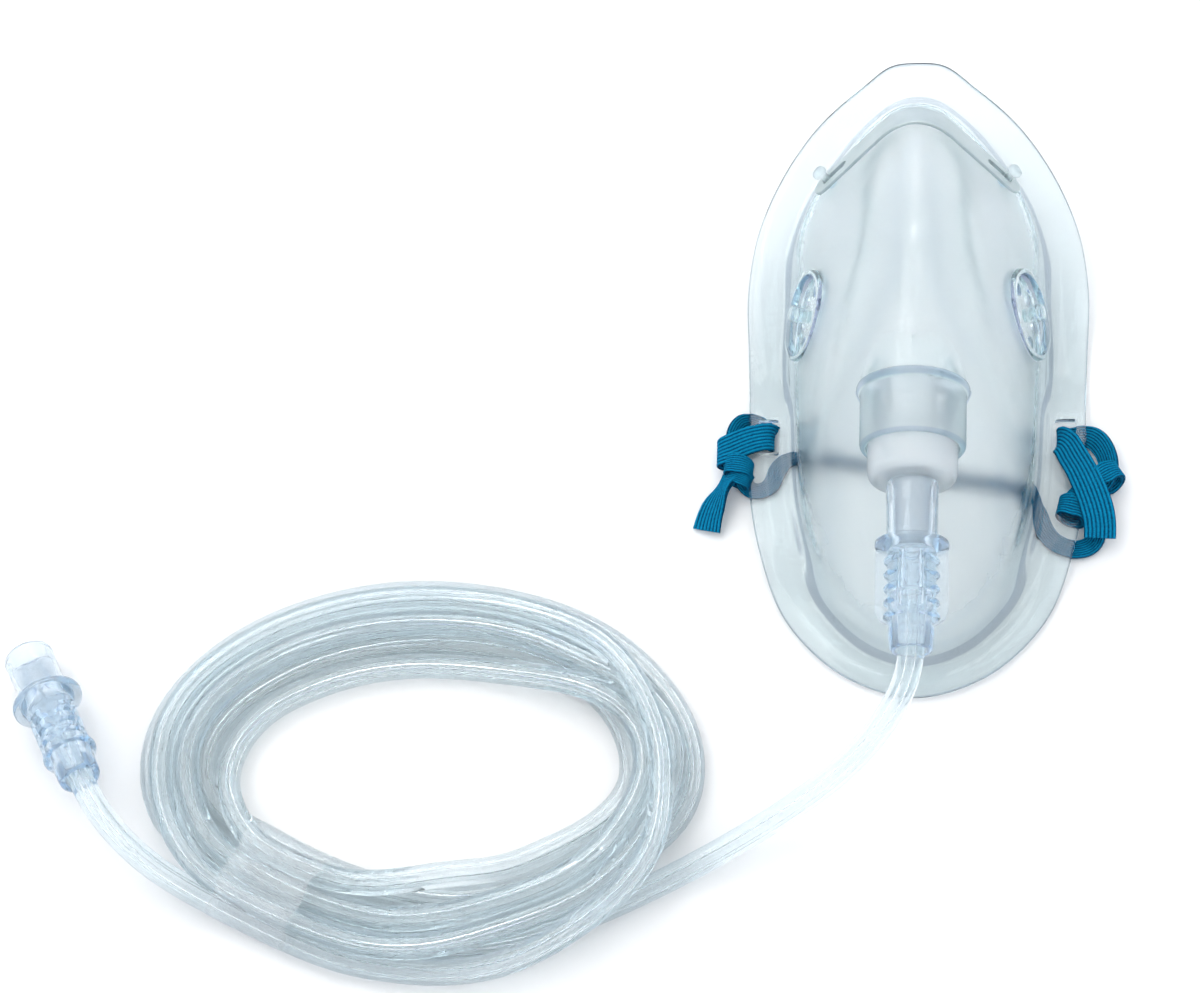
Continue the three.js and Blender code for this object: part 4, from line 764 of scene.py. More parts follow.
TILT = math.radians(3)
AXIS = np.array([0, -math.cos(TILT), -math.sin(TILT)])
PORT = np.array([0, -31.75, 39.0])
port_place = placed(PORT, AXIS)
CL = 15.2
collar = lathe([[0, -22], [11, -22], [11, -14.2], [11.25, -14.05], [11.6, -13.75], [11.75, -13.4], [11.78, -13.1], [11.7, -12.7], [11.45, -12.3], [11.1, -12.0],
                [11.0, -11.6], [10.97, -5.0], [10.95, -1.0], [10.86, -0.55], [10.68, -0.22], [10.42, -0.05], [10.1, 0], [0, 0]], 120, port_place)
bore = lathe([[0, -30], [8.7, -30], [8.7, -CL + 0.6], [9.25, -CL + 1.0], [9.6, -CL + 1.6], [9.6, -0.5], [9.75, 0.1], [10.0, 1], [0, 1]], 120, port_place)
VENT = [placed((24.6579, 13.3781, 12.6813), (0.9185, 0.0271, 0.3944), (-0.0249, 0.9996, -0.0107)),
        placed((-24.6579, 13.3781, 12.6813), (-0.9185, 0.0271, 0.3944), (0.0249, 0.9996, -0.0107))]
shell = csg(shell, collar, "UNION")
for m in VENT:
    shell = csg(shell, lathe([[0, -2.8], [10.2, -2.8], [10.2, 0.0], [10.12, 0.3], [9.95, 0.48], [9.75, 0.55], [0, 0.55]], 96, m), "UNION")
# pegs of the clip
for sx in (-1, 1):
    m = placed((sx * 18.730, 42.153, 20.455), (sx * 0.7214, 0.3462, 0.5997), (0, 1, 0))
    shell = csg(shell, lathe([[0, -1.6], [1.5, -1.6], [1.15, 0.1], [1.0, 0.4], [0.95, 0.8], [0.95, 2.5], [1.2, 2.62], [1.5, 2.85], [1.58, 3.2], [1.55, 3.8], [1.4, 4.15], [1.05, 4.4], [0.5, 4.48], [0, 4.48]], 32, m), "UNION")
for m in VENT:
    cavity = csg(cavity, lathe([[0, -2.9], [10.2, -2.9], [10.2, 3], [0, 3]], 96, m), "DIFFERENCE")
shell = csg(shell, cavity, "DIFFERENCE")
shell = csg(shell, bore, "DIFFERENCE")
for m in VENT:
    shell = csg(shell, lathe([[0, -1.5], [8.8, -1.5], [8.95, -1.4], [9.0, -1.2], [9.0, 0.3], [9.1, 0.5], [9.3, 0.9], [9.3, 6], [0, 6]], 96, m), "DIFFERENCE")
    for i in range(6):
        a = i / 6 * 2 * math.pi + math.pi / 6
        c = (m @ np.array([5.9 * math.cos(a), 5.9 * math.sin(a), 0, 1]))[:3]
        hm = m.copy()
        hm[:3, 3] = c
        shell = csg(shell, lathe([[0, -6], [1.35, -6], [1.35, -1.7], [1.55, -1.45], [1.55, 0], [0, 0]], 28, hm), "DIFFERENCE")
    shell = csg(shell, lathe([[0, -2], [1.45, -2], [1.45, 0.9], [1.7, 1.0], [1.85, 1.2], [1.85, 2.4], [1.7, 2.75], [1.3, 2.98], [0, 3.0]], 40, m), "UNION")
for sx in (-1, 1):
    x0, x1 = (29.8, 34.3) if sx > 0 else (-34.3, -29.8)
    shell = csg(shell, prism(rounded(x0, x1, -15.4, -7.3, 0.5, 5), -3, 8), "DIFFERENCE")
finish_solid(shell, "mask_shell_clear", shell_mat, 34)

# ------------------------------------------------------------------ nose clip
ACROSS = np.array([0, -math.cos(math.radians(30)), math.sin(math.radians(30))])
DOWN = np.array([0, -math.sin(math.radians(30)), -math.cos(math.radians(30))])
APEX = np.array([0, 49.8, 33.7])
SLOPE, CLIFT, CX0 = 1.0418364, -0.2602405, 7.6


def clip_line(x):
    d = np.where(np.abs(x) < CX0, SLOPE * x * x / (2 * CX0), SLOPE * (np.abs(x) - CX0 / 2)) + CLIFT
    return APEX + DOWN * d[:, None] + np.c_[x, 0 * x, 0 * x]


cx = np.linspace(-21.5, 21.5, 1201)
cp = clip_line(cx)
ca = np.r_[0, np.cumsum(np.linalg.norm(np.diff(cp, axis=0), axis=1))]
CLIP_LEN = ca[-1]
r = 3.2
ends = r * (1 - np.cos(np.linspace(0, math.pi / 2, 12)))
cd = np.r_[ends, np.linspace(r, CLIP_LEN - r, 120)[1:-1], CLIP_LEN - ends[::-1]]
cpt = np.stack([np.interp(cd, ca, cp[:, k]) for k in range(3)], 1)
ctan = unit(np.stack([np.interp(cd, ca, np.gradient(cp[:, k], ca)) for k in range(3)], 1))
cn = unit(np.cross(np.broadcast_to(ACROSS, ctan.shape), ctan))
cn *= np.sign(cn[:, 2:3])
dist_end = np.minimum(cd, CLIP_LEN - cd)
half_w = np.where(dist_end >= r, r, np.sqrt(np.maximum(0.03, r * r - (r - dist_end) ** 2)))
T2 = 0.4
prof = [(1, -0.55), (1, 0.55), (0.965, 0.9), (0.91, 1), (0.5, 1), (0, 1), (-0.5, 1), (-0.91, 1), (-0.965, 0.9), (-1, 0.55), (-1, -0.55), (-0.965, -0.9), (-0.91, -1), (0, -1), (0.91, -1), (0.965, -0.9)]
centre = cpt + cn * (0.42 + T2)
verts = np.concatenate([[centre[i] + ACROSS * half_w[i] * u + cn[i] * T2 * w for u, w in prof] for i in range(len(cd))])
np_ = len(prof)
faces = grid(len(cd), np_).tolist() + [tuple(range(np_)), tuple(range((len(cd) - 1) * np_, len(cd) * np_))]
clip = solid(verts, faces)
for sx in (-1, 1):
    def at(d):
        dd = d if sx < 0 else CLIP_LEN - d
        return np.array([np.interp(dd, ca, cp[:, k]) for k in range(3)])
    a, b = at(3.7), at(8.9)
    nn = np.array([sx * 0.7214, 0.3462, 0.5997])
    L_ = np.linalg.norm(b - a)
    arc = [(1.1 * math.cos(t), 1.1 * math.sin(t)) for t in np.linspace(math.pi / 2, 1.5 * math.pi, 12)]
    arc += [(L_ + 1.1 * math.cos(t), 1.1 * math.sin(t)) for t in np.linspace(-math.pi / 2, math.pi / 2, 12)]
    clip = csg(clip, prism(arc, -4, 4, placed(a, nn, b - a)), "DIFFERENCE")
finish_solid(clip, "nose_clip_strip", clip_mat, 30)

# ------------------------------------------------------------------ swivel adapter
E = 7.2
adapter = lathe([[0, -13.2], [6.4, -13.2], [6.4, -13.5], [8.5, -13.5], [9.0, -13.2], [9.3, -12.6], [9.3, 0.9], [9.3, 4.9], [9.22, 5.5], [9.02, 6.2], [8.7, 6.75], [8.3, 7.05], [7.7, 7.2],
                 [5.2, 7.2], [4.95, 7.12], [4.7, 7.12], [4.45, 7.2], [4.1, 7.28], [3.85, 7.6], [3.55, 8.2], [3.2, 19.2], [2.95, 19.65], [2.7, 19.8], [0, 19.8]], 96, port_place)
hollow = lathe([[0, -16.2], [7.4, -16.2], [7.4, 4.6], [7.2, 5.2], [6.5, 5.7], [2.0, 5.7], [1.5, 20.4], [0, 20.4]], 72, port_place)
adapter = csg(adapter, hollow, "DIFFERENCE")
for a in (0, 90, 180, 270):               # air windows, inside the collar
    m = port_place.copy()
    rot = np.eye(4)
    c_, s_ = math.cos(math.radians(a + 45)), math.sin(math.radians(a + 45))
    rot[:2, :2] = [[c_, -s_], [s_, c_]]
    adapter = csg(adapter, prism(rounded(6.6, 10.2, -2.2, 2.2, 0.6, 4), -11.0, -4.0, m @ rot), "DIFFERENCE")
finish_solid(adapter, "port_adapter", adapter_mat, 34)


# ------------------------------------------------------------------ tube connectors
def connector(name, place):
    L, f = 36.2, 13.0
    m = lathe([[0, 0], [4.6, 0], [5.0, 0.03], [5.22, 0.14], [5.34, 0.36], [5.34, 1.0], [5.26, 1.12], [5.26, 1.3], [5.33, 1.42], [5.3, 5.0], [5.24, 5.1], [5.24, 5.24], [5.29, 5.34], [5.2, f - 1.2],
               [5.28, f - 0.75], [5.6, f - 0.42], [6.2, f - 0.25], [7.0, f - 0.14], [7.35, f - 0.02], [7.54, f + 0.16], [7.6, f + 0.4], [7.6, f + 0.7], [7.54, f + 0.95], [7.3, f + 1.2],
               [6.9, f + 1.35], [5.6, f + 1.72], [5.15, f + 2.1], [4.95, f + 2.6], [4.95, L - 6.6], [4.88, L - 6.25], [4.72, L - 5.6], [4.42, L - 0.7], [4.32, L - 0.25], [4.1, L], [0, L]], 80)
    for z in (f + 4.1, f + 7.1, f + 10.1, f + 13.1):
        rib = lathe([[0, z - 0.85], [4.6, z - 0.85], [5.0, z - 0.72], [5.4, z - 0.48], [5.66, z - 0.2], [5.74, z], [5.66, z + 0.2], [5.4, z + 0.48], [5.0, z + 0.72], [4.6, z + 0.85], [0, z + 0.85]], 80)
        rib = csg(rib, prism([(-2.9, -9), (2.9, -9), (2.9, 9), (-2.9, 9)], z - 3, z + 3), "DIFFERENCE")
        m = csg(m, rib, "UNION")
    z = L - 7.2
    m = csg(m, lathe([[0, z - 0.9], [4.6, z - 0.9], [5.1, z - 0.72], [5.6, z - 0.5], [5.78, z - 0.22], [5.8, z], [5.78, z + 0.22], [5.6, z + 0.5], [5.1, z + 0.72], [4.6, z + 0.9], [0, z + 0.9]], 80), "UNION")
    fin = [(4.0, f + 0.5), (7.2, f + 0.5), (7.4, f + 0.7), (7.4, L - 8.7), (7.3, L - 8.2), (6.7, L - 6.8), (6.4, L - 6.45), (5.3, L - 5.75), (5.0, L - 5.6), (4.0, L - 5.6)]
    for s in (1, -1):
        turn = np.eye(4)
        turn[:3, :3] = np.array([[s, 0, 0], [0, 0, -1.0], [0, 1, 0]]) if s > 0 else np.array([[-1, 0, 0], [0, 0, 1.0], [0, 1, 0]])
        m = csg(m, prism(fin, -0.45, 0.45, turn), "UNION")
        # the smooth grip panel is a little proud of the barrel
        pane = prism(rounded(-2.6, 2.6, f + 2.9, L - 8.1, 0.8, 5), 4.3, 5.12)
        pm = np.eye(4)
        pm[:3, :3] = np.array([[1, 0, 0], [0, 0, s], [0, 1, 0]])
        pane.data.transform(Matrix(pm.tolist()))
        bm = bmesh.new()
        bm.from_mesh(pane.data)
        bmesh.ops.recalc_face_normals(bm, faces=bm.faces)
        bm.to_mesh(pane.data)
        bm.free()
        m = csg(m, pane, "UNION")
    hole = lathe([[0, -1], [4.3, -1], [4.3, 0], [4.2, 0.25], [4.12, 0.6], [3.98, 1.0], [3.95, 1.3], [3.75, f + 1.0], [2.2, f + 2.2], [2.2, L - 13.0], [3.08, L - 12.6], [3.08, L - 0.5], [3.3, L + 0.05], [3.3, L + 1], [0, L + 1]], 72)
    m = csg(m, hole, "DIFFERENCE")
    place = place.copy()
    mat = Matrix(place.tolist())
    mat.translation = Vector(place[:3, 3]) * MM
    m.data.transform(mat)
    return finish_solid(m, name, conn_mat, 30)


mask_conn = connector("mask_connector_pvc", placed(PORT + AXIS * (E + 0.35), AXIS))
S_AXIS = unit(np.array([0.475 * math.cos(math.radians(14)), -0.88 * math.cos(math.radians(14)), math.sin(math.radians(14))]))
S_MOUTH = np.array([-189.9, -64.8, 5.35 * math.cos(math.radians(14)) + 0.04])
supply_conn = connector("supply_connector_pvc", placed(S_MOUTH, S_AXIS, (0, 0, 1)))

# ------------------------------------------------------------------ strap: one elastic band, tail to tail
# x, y, z, then the thin direction, width and thickness
STRAP = [
    (-45.0, -32.7, 0.9, 0.25, 0.0, -1, 6.4, 1.0), (-44.5, -30.5, 1.6, 0.35, 0.05, -0.95, 6.3, 1.0), (-43.2, -27.0, 2.8, 0.6, 0.15, -0.75, 6.0, 1.0),
    (-41.6, -23.9, 3.4, 0.75, -0.2, -0.6, 5.2, 1.15), (-40.2, -21.5, 3.5, 0.6, -0.2, -0.75, 4.3, 1.4), (-39.3, -19.4, 3.0, 0.3, 0, -0.95, 4.2, 1.4),
    (-39.2, -17.5, 1.9, 0.1, 0, -1, 4.6, 1.2), (-40.3, -16.2, 1.6, 0, 0, -1, 5.6, 1.05), (-41.8, -15.7, 2.0, -0.5, 0, -0.85, 6.2, 1.0), (-42.7, -15.5, 3.1, -1, 0, 0, 6.4, 1.0),
    (-42.0, -15.3, 4.2, -0.5, 0, 0.85, 6.5, 1.0), (-40.6, -14.8, 4.5, 0, 0, 1, 6.5, 1.0), (-38.7, -13.9, 4.5, 0, 0, 1, 6.5, 1.0), (-36.0, -12.7, 4.4, 0, 0, 1, 6.5, 1.0), (-33.4, -12.0, 4.3, 0, 0, 1, 6.4, 1.0),
    (-31.9, -11.6, 3.8, 0.55, 0, 0.83, 6.3, 1.0), (-31.2, -11.3, 2.7, 1, 0, 0.1, 6.2, 1.0), (-31.2, -10.9, 1.5, 0.9, 0, -0.4, 6.0, 1.0), (-31.7, -10.0, 0.85, 0.35, 0, -0.94, 5.2, 1.05),
    (-32.8, -8.6, 0.75, 0, 0, -1, 4.4, 1.1), (-34.5, -7.4, 0.75, 0, 0, -1, 4.0, 1.15), (-36.4, -7.0, 1.2, -0.3, 0.2, -0.93, 4.0, 1.15), (-38.0, -7.9, 2.2, -0.6, 0.3, -0.7, 4.4, 1.1),
    (-39.0, -9.9, 2.7, -0.7, 0.1, -0.7, 4.8, 1.05), (-39.5, -12.5, 2.5, -0.7, 0, -0.7, 4.8, 1.05), (-39.3, -15.4, 2.3, -0.6, 0, -0.8, 4.6, 1.1), (-38.6, -17.8, 2.7, -0.4, 0, -0.9, 4.2, 1.3),
    (-37.7, -20.2, 2.3, -0.2, 0, -1, 3.9, 1.4), (-36.9, -21.9, 1.3, 0, 0, -1, 3.7, 1.3), (-35.5, -23.1, 0.78, 0, 0, -1, 3.6, 1.2), (-33.7, -23.5, 0.76, 0, 0, -1, 3.6, 1.2), (-32.0, -22.7, 0.76, 0, 0, -1, 3.6, 1.2),
    (-30.8, -20.8, 0.76, 0, 0, -1, 3.7, 1.2), (-30.1, -18.6, 0.76, 0, 0, -1, 3.9, 1.2), (-28.7, -16.7, 0.76, 0, 0, -1, 3.7, 1.2), (-26.3, -15.7, 0.78, 0, 0, -1, 3.2, 1.3), (-23.0, -15.4, 0.8, 0, 0, -1, 2.8, 1.4),
    (-18.3, -15.7, 0.8, 0, 0, -1, 2.5, 1.45), (-12.8, -16.6, 0.8, 0, 0, -1, 2.4, 1.45), (-6.0, -17.8, 0.8, 0, 0, -1, 2.4, 1.45), (2.0, -19.2, 0.8, 0, 0, -1, 2.4, 1.45), (10.0, -20.5, 0.8, 0, 0, -1, 2.4, 1.45),
    (16.5, -21.4, 0.8, 0, 0, -1, 2.6, 1.45), (21.0, -22.2, 0.8, 0, 0, -1, 3.0, 1.35), (23.7, -23.8, 0.78, 0, 0, -1, 3.4, 1.25), (25.2, -26.6, 0.76, 0, 0, -1, 3.8, 1.2), (26.4, -30.0, 0.76, 0, 0, -1, 4.2, 1.15),
    (27.7, -33.1, 0.76, 0, 0, -1, 4.1, 1.15), (29.6, -35.5, 0.76, 0, 0, -1, 4.0, 1.2), (32.2, -36.8, 0.78, 0, 0, -1, 4.0, 1.2), (35.1, -36.9, 0.85, 0, 0, -1, 4.1, 1.2), (37.4, -35.8, 1.1, 0.2, 0, -1, 4.3, 1.15),
    (38.3, -33.9, 1.7, 0.4, 0, -0.9, 4.4, 1.15), (37.8, -31.9, 2.2, 0.3, 0, -0.95, 4.3, 1.2), (36.6, -29.6, 2.6, 0.1, 0, -1, 4.2, 1.3), (36.3, -27.0, 2.8, 0.1, 0, -1, 4.2, 1.3), (37.6, -24.4, 2.9, 0.1, 0, -1, 4.2, 1.3),
    (39.8, -22.4, 2.8, 0.2, 0, -1, 4.2, 1.3), (41.0, -20.2, 2.6, 0.5, 0, -0.85, 4.4, 1.2), (41.1, -17.2, 2.5, 0.6, 0, -0.8, 4.8, 1.1), (40.2, -14.2, 2.4, 0.6, 0.1, -0.8, 5.0, 1.05), (38.5, -11.7, 2.0, 0.5, 0.1, -0.9, 5.0, 1.05),
    (36.5, -10.5, 1.3, 0.3, 0, -0.95, 5.0, 1.05), (34.4, -10.6, 0.8, 0, 0, -1, 5.2, 1.0), (32.4, -11.2, 0.72, -0.2, 0, -0.98, 5.6, 1.0), (31.0, -11.8, 1.0, -0.75, 0, -0.65, 6.0, 1.0), (30.6, -12.1, 2.2, -1, 0, 0, 6.2, 1.0),
    (30.8, -12.4, 3.5, -0.85, 0.1, 0.5, 6.3, 1.0), (31.9, -13.6, 4.3, -0.2, 0.15, 0.96, 6.5, 1.0), (33.3, -16.2, 4.6, 0, 0.1, 1, 6.7, 1.0), (34.9, -19.6, 5.3, 0, 0.25, 0.96, 6.9, 1.0), (36.5, -23.6, 6.0, 0, 0.1, 1, 7.0, 1.0),
    (37.8, -27.3, 6.1, 0, -0.05, 1, 7.0, 1.0), (38.6, -30.3, 5.8, 0.05, -0.2, 0.97, 7.0, 1.0), (39.0, -32.9, 5.1, 0.1, -0.3, 0.95, 6.9, 1.0), (39.0, -35.8, 4.2, 0.1, -0.35, 0.93, 6.8, 1.0),
]


def rib_profile(n=64):
    """Band section, unit half width and unit half thickness, with eight lengthwise ribs on each face."""
    pts = []
    us = np.linspace(-1, 1, n // 2)
    for side in (1, -1):
        for u in (us if side > 0 else us[::-1]):
            rib = 0.60 + 0.40 * abs(math.sin(4 * math.pi * (u + 1))) ** 0.7
            edge_ = math.sqrt(max(0.0, 1 - max(0, (abs(u) - 0.9) / 0.1) ** 2 * 0.85))
            pts.append((u, side * rib * edge_))
    return np.array(pts)


RIB = rib_profile(66)


def sweep_band(path, normal, width, thick, closed=False, v0=0.0):
    """Vertices, faces and UVs of a ribbed band. Positions in millimetres."""
    t = unit(np.roll(path, -1, 0) - np.roll(path, 1, 0)) if closed else unit(np.gradient(path, axis=0))
    n = unit(normal - t * np.sum(normal * t, 1, keepdims=True))
    b = np.cross(t, n)
    d = np.r_[0, np.cumsum(np.linalg.norm(np.diff(path, axis=0), axis=1))] + v0
    v = path[:, None] + b[:, None] * (RIB[None, :, 0] * width[:, None] / 2)[..., None] + n[:, None] * (RIB[None, :, 1] * thick[:, None] / 2)[..., None]
    uv = np.stack(np.broadcast_arrays(RIB[None, :, 0] * 3.25, d[:, None]), -1)
    m = len(RIB)
    rows = len(path)
    f = grid(rows, m)
    if closed:
        i = np.arange(m)
        j = (i + 1) % m
        f = np.concatenate([f, np.stack([i + (rows - 1) * m, j + (rows - 1) * m, j, i], -1)])
        caps = []
    else:
        caps = [tuple(range(m))[::-1], tuple(range((rows - 1) * m, rows * m))]
    return v.reshape(-1, 3), f[:, ::-1].tolist() + caps, uv.reshape(-1, 2)


strap_pts, strap_s = spline(np.array(STRAP), 0.7)
sp, sn, sw, st = strap_pts[:, :3], strap_pts[:, 3:6], strap_pts[:, 6], strap_pts[:, 7]
# the band's thin directions are made unit length
sn = unit(sn)
parts_v, parts_f, parts_uv, count = [], [], [], 0


def add_part(v, f, uv):
    global count
    v = v.copy()
    v[:, 2] = np.maximum(v[:, 2], 0.03)
    parts_v.append(v)
    parts_f.extend([tuple(i + count for i in q) for q in f])
    parts_uv.append(uv)
    count += len(v)


add_part(*sweep_band(sp, sn, sw, st))


def wrap(centre, axis, rx, rz, width, thick=1.05, squeeze=0.0, lean=0.0, n=72):
    """One turn of the band round a knot: a ring about a level axis, flatter on top and underneath."""
    c, ax = np.array(centre, float), unit(np.array(axis, float))
    side = unit(np.cross((0, 0, 1.0), ax))
    upv = np.cross(ax, side)
    th = np.arange(n) / n * 2 * math.pi
    k = 0.8
    cx_, cz_ = np.sign(np.cos(th)) * np.abs(np.cos(th)) ** k, np.sign(np.sin(th)) * np.abs(np.sin(th)) ** k
    path = c + side * (rx * cx_)[:, None] + upv * (rz * cz_)[:, None] + ax * (lean * np.sin(th + 0.6))[:, None]
    nrm = side * (cx_ / rx)[:, None] + upv * (cz_ / rz)[:, None]
    w = width * (1 - squeeze * np.abs(np.cos(th)))
    add_part(*sweep_band(path, unit(nrm), w, np.full(n, thick), closed=True, v0=rng.uniform(0, 9)))


wrap((-38.3, -19.3, 3.25), (0.10, 1, 0), 2.7, 2.45, 4.4, squeeze=0.15, lean=0.5)
wrap((-38.0, -21.2, 2.75), (0.45, 0.9, 0), 2.2, 2.0, 3.6, squeeze=0.1, lean=-0.4)
wrap((-38.9, -17.6, 2.6), (-0.35, 0.94, 0), 2.3, 1.9, 3.2, squeeze=0.1, lean=0.3)
wrap((33.4, -28.9, 2.95), (0.22, 0.97, 0), 2.9, 2.25, 5.2, squeeze=0.2, lean=0.6)
wrap((36.0, -25.6, 3.0), (0.62, 0.78, 0), 3.0, 2.3, 4.6, squeeze=0.15, lean=-0.5)
wrap((40.7, -21.2, 3.1), (-0.55, 0.83, 0), 2.9, 2.4, 5.0, squeeze=0.25, lean=0.5)
strap = add_mesh("head_strap_elastic", np.concatenate(parts_v), parts_f, strap_mat, uv=np.concatenate(parts_uv), sharp=60)
face_out(strap)

# ------------------------------------------------------------------ tape round the coil
COIL = dict(x=-104.0, y=-90.7, a=52.1, b=35.6)
ta = math.radians(234)
tc = np.array([COIL["x"] + COIL["a"] * math.cos(ta), COIL["y"] + COIL["b"] * math.sin(ta)])
tout = unit(np.array([math.cos(ta) / COIL["a"], math.sin(ta) / COIL["b"]]))
ttan = np.array([-tout[1], tout[0]])
fine_path, _ = spline(ROUTE, 0.5)
fine_path[:, 2] = np.maximum(fine_path[:, 2], TUBE_R + 0.06) + 0.42 * np.exp(-(np.hypot(*(fine_path[:, :2] - TAPE_AT).T) / 19.0) ** 4) * (fine_path[:, 2] < 10)


def hull(points):
    pts = sorted(map(tuple, points))
    def half(seq):
        out = []
        for p in seq:
            while len(out) > 1 and (out[-1][0] - out[-2][0]) * (p[1] - out[-2][1]) - (out[-1][1] - out[-2][1]) * (p[0] - out[-2][0]) <= 0:
                out.pop()
            out.append(p)
        return out
    lo_, hi_ = half(pts), half(pts[::-1])
    return np.array(lo_[:-1] + hi_[:-1])


TN = 176
tape_rings = []
offs = np.linspace(-9, 9, 31)
for o in offs:
    rel = fine_path[:, :2] - tc
    along = rel @ ttan - o
    cross = np.where((along[:-1] * along[1:] < 0) & (np.abs(rel[:-1] @ tout) < 22))[0]
    circ = []
    for c_ in cross:
        w_ = along[c_] / (along[c_] - along[c_ + 1])
        p = fine_path[c_] * (1 - w_) + fine_path[c_ + 1] * w_
        a_ = np.linspace(0, 2 * math.pi, 33)[:-1]
        circ.append(np.c_[(p[:2] - tc) @ tout + (TUBE_R + 0.10) * np.cos(a_), p[2] + (TUBE_R + 0.10) * np.sin(a_)])
    h = hull(np.concatenate(circ))
    h = np.r_[h, h[:1]]
    d = np.r_[0, np.cumsum(np.linalg.norm(np.diff(h, axis=0), axis=1))]
    mid = h[:-1].mean(0)
    s_ = np.linspace(0, d[-1], 721)[:-1]
    loop = np.stack([np.interp(s_, d, h[:, k]) for k in range(2)], 1)
    start = np.argmin(np.arctan2(loop[:, 1] - mid[1], loop[:, 0] - mid[0]) % (2 * math.pi))
    loop = np.roll(loop, -start, 0)[(np.arange(TN) * 720 / TN).astype(int)]
    tape_rings.append(loop)
tape_rings = np.array(tape_rings)
for _ in range(3):                       # the film is stiffer than the strands' outline
    tape_rings[1:-1] = (tape_rings[:-2] + 2 * tape_rings[1:-1] + tape_rings[2:]) / 4
tg = unit(np.roll(tape_rings, -1, 1) - np.roll(tape_rings, 1, 1))
tnrm = np.stack([tg[..., 1], -tg[..., 0]], -1)
jj, oo = np.meshgrid(np.arange(TN), offs)
wr = (0.05 * np.sin(jj * 0.55 + oo * 0.8) * np.sin(oo * 0.9 + 1.0) + 0.04 * np.sin(jj * 0.23 - oo * 0.5 + 2.0) + 0.03 * np.sin(jj * 1.1 + oo * 0.35))
wr = np.maximum(wr, -0.02) * np.clip((tape_rings[..., 1] - 1.0) / 4.0, 0, 1)
wob = 0.35 * np.sin(jj * 0.21 + 0.7) * (np.abs(oo) / 9.0) ** 3      # edges aren't quite straight


def tape_surface(extra):
    p = tape_rings + tnrm * (wr + extra)[..., None]
    p[..., 1] = np.maximum(p[..., 1], 0.04 + extra * 0)
    xy = tc + p[..., :1] * tout + ((offs[:, None] + wob * np.sign(offs)[:, None])[..., None]) * ttan
    return np.concatenate([xy, p[..., 1:]], -1)


t_in, t_out = tape_surface(0.0), tape_surface(0.11)
nrow = len(offs)
fo, fi = grid(nrow, TN), grid(nrow, TN, base=nrow * TN)[:, ::-1]
i = np.arange(TN)
j = (i + 1) % TN
B = nrow * TN
e0 = np.stack([i, i + B, j + B, j], -1)
e1 = np.stack([i, j, j + B, i + B], -1)
e1 = e1 + (nrow - 1) * TN
tape = add_mesh("coil_tape_film", np.concatenate([t_out.reshape(-1, 3), t_in.reshape(-1, 3)]), np.concatenate([fo, fi, e0, e1]), tape_mat, sharp=50)
face_out(tape)

# ------------------------------------------------------------------ bodies and CAD nodes
for ob, body, nodes, slot_name in (
        (shell, "mask", ["mask_shell"], "clear_pvc"), (clip, "mask", ["nose_clip"], "clip_metal"), (adapter, "swivel", ["swivel_adapter"], "frosted_plastic"),
        (mask_conn, "swivel", ["mask_connector"], "connector_pvc"), (supply_conn, "mask", ["supply_connector"], "connector_pvc"),
        (tube, "mask", ["tube_lead_mask", "tube_coil", "tube_lead_supply"], "tube_pvc"), (tape, "mask", ["coil_tape"], "clear_tape"), (strap, "mask", ["head_strap"], "elastic")):
    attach(ob, body)
    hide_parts(*nodes)

# ------------------------------------------------------------------ floor, light, world
bpy.ops.mesh.primitive_plane_add(size=24, location=(0, 0, -0.0003))
floor = bpy.context.object
floor.name = "floor"
fm = Mat("pale_floor")
fn = fm.noise(6.0, 4.0)
ff = fm.noise(700.0, 5.0, 0.65)
fm.set(Base_Color=fm.ramp(fm.range(fn, 0, 1), [(0.0, (0.86, 0.865, 0.87)), (1.0, (0.885, 0.888, 0.89))]), Roughness=fm.range(ff, 0.82, 0.95), IOR=1.4)
fm.bsdf.inputs["Specular IOR Level"].default_value = 0.2
fm.bump([(ff, 0.00001)])
floor.data.materials.append(fm.m)

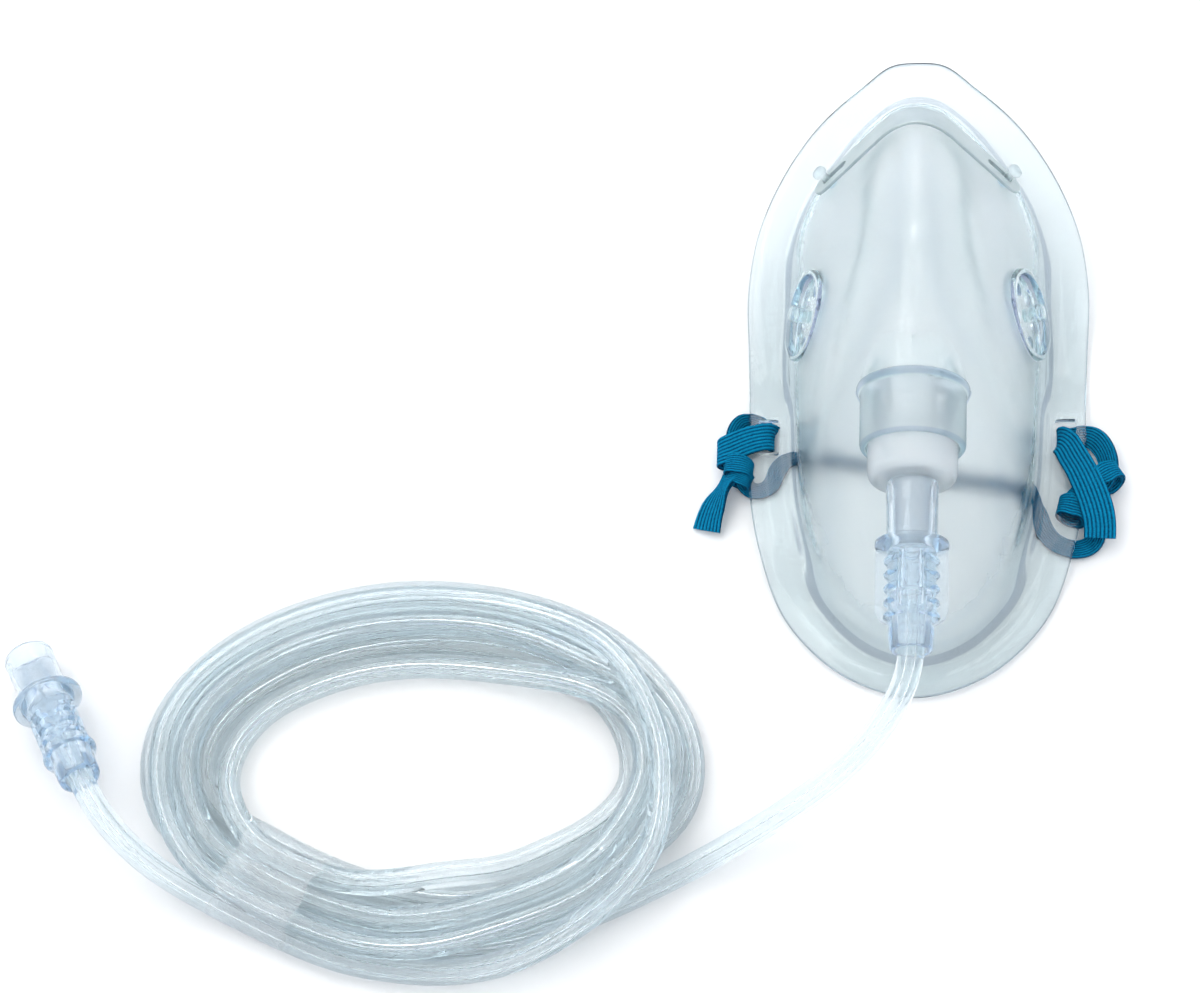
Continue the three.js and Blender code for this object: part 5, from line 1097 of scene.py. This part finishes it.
world = bpy.data.worlds.new("studio")
scene.world = world
world.use_nodes = True
wt = world.node_tree
bg = wt.nodes["Background"]
tcn = wt.nodes.new("ShaderNodeTexCoord")
sep = wt.nodes.new("ShaderNodeSeparateXYZ")
wt.links.new(tcn.outputs["Generated"], sep.inputs[0])
rmp = wt.nodes.new("ShaderNodeValToRGB")
while len(rmp.color_ramp.elements) < 5:
    rmp.color_ramp.elements.new(0.5)
for e_, (pos, c) in zip(rmp.color_ramp.elements, [(0.0, (0.30, 0.36, 0.54)), (0.15, (0.24, 0.32, 0.52)), (0.30, (0.66, 0.74, 0.86)), (0.48, (0.97, 0.985, 1.0)), (1.0, (1.0, 1.0, 1.0))]):
    e_.position, e_.color = pos, (*c, 1)
wt.links.new(sep.outputs[2], rmp.inputs["Fac"])
wt.links.new(rmp.outputs["Color"], bg.inputs["Color"])
bg.inputs["Strength"].default_value = 1.0


def area(name, loc, target, size, power, color=(1, 1, 1)):
    d_ = bpy.data.lights.new(name, "AREA")
    d_.shape, d_.size, d_.size_y, d_.energy, d_.color = "RECTANGLE", size[0], size[1], power, color
    o_ = bpy.data.objects.new(name, d_)
    scene.collection.objects.link(o_)
    o_.location = loc
    o_.rotation_euler = (Vector(target) - Vector(loc)).to_track_quat("-Z", "Y").to_euler()
    return o_


area("key", (-0.55, 0.45, 1.25), (-0.03, -0.02, 0.02), (1.0, 0.8), 4.5)
area("back_strip", (-0.02, 0.867, 0.563), (0.0, 0.01, 0.048), (0.95, 0.014), 0.5)
area("back_strip_low", (0.0, 0.905, 0.490), (0.0, 0.015, 0.046), (0.30, 0.014), 0.16)

scene.view_settings.view_transform = "Standard"
scene.view_settings.exposure = 0.36
cy = scene.cycles
cy.max_bounces, cy.transmission_bounces, cy.transparent_max_bounces = 22, 22, 8
cy.glossy_bounces, cy.diffuse_bounces, cy.volume_bounces = 6, 3, 0
cy.caustics_reflective, cy.caustics_refractive = True, True
cy.blur_glossy = 0.6
cy.sample_clamp_indirect = 6.0
cy.use_denoising = True
cy.denoiser = "OPENIMAGEDENOISE"
cy.use_adaptive_sampling = True
cy.adaptive_threshold = 0.10
cy.adaptive_min_samples = 12
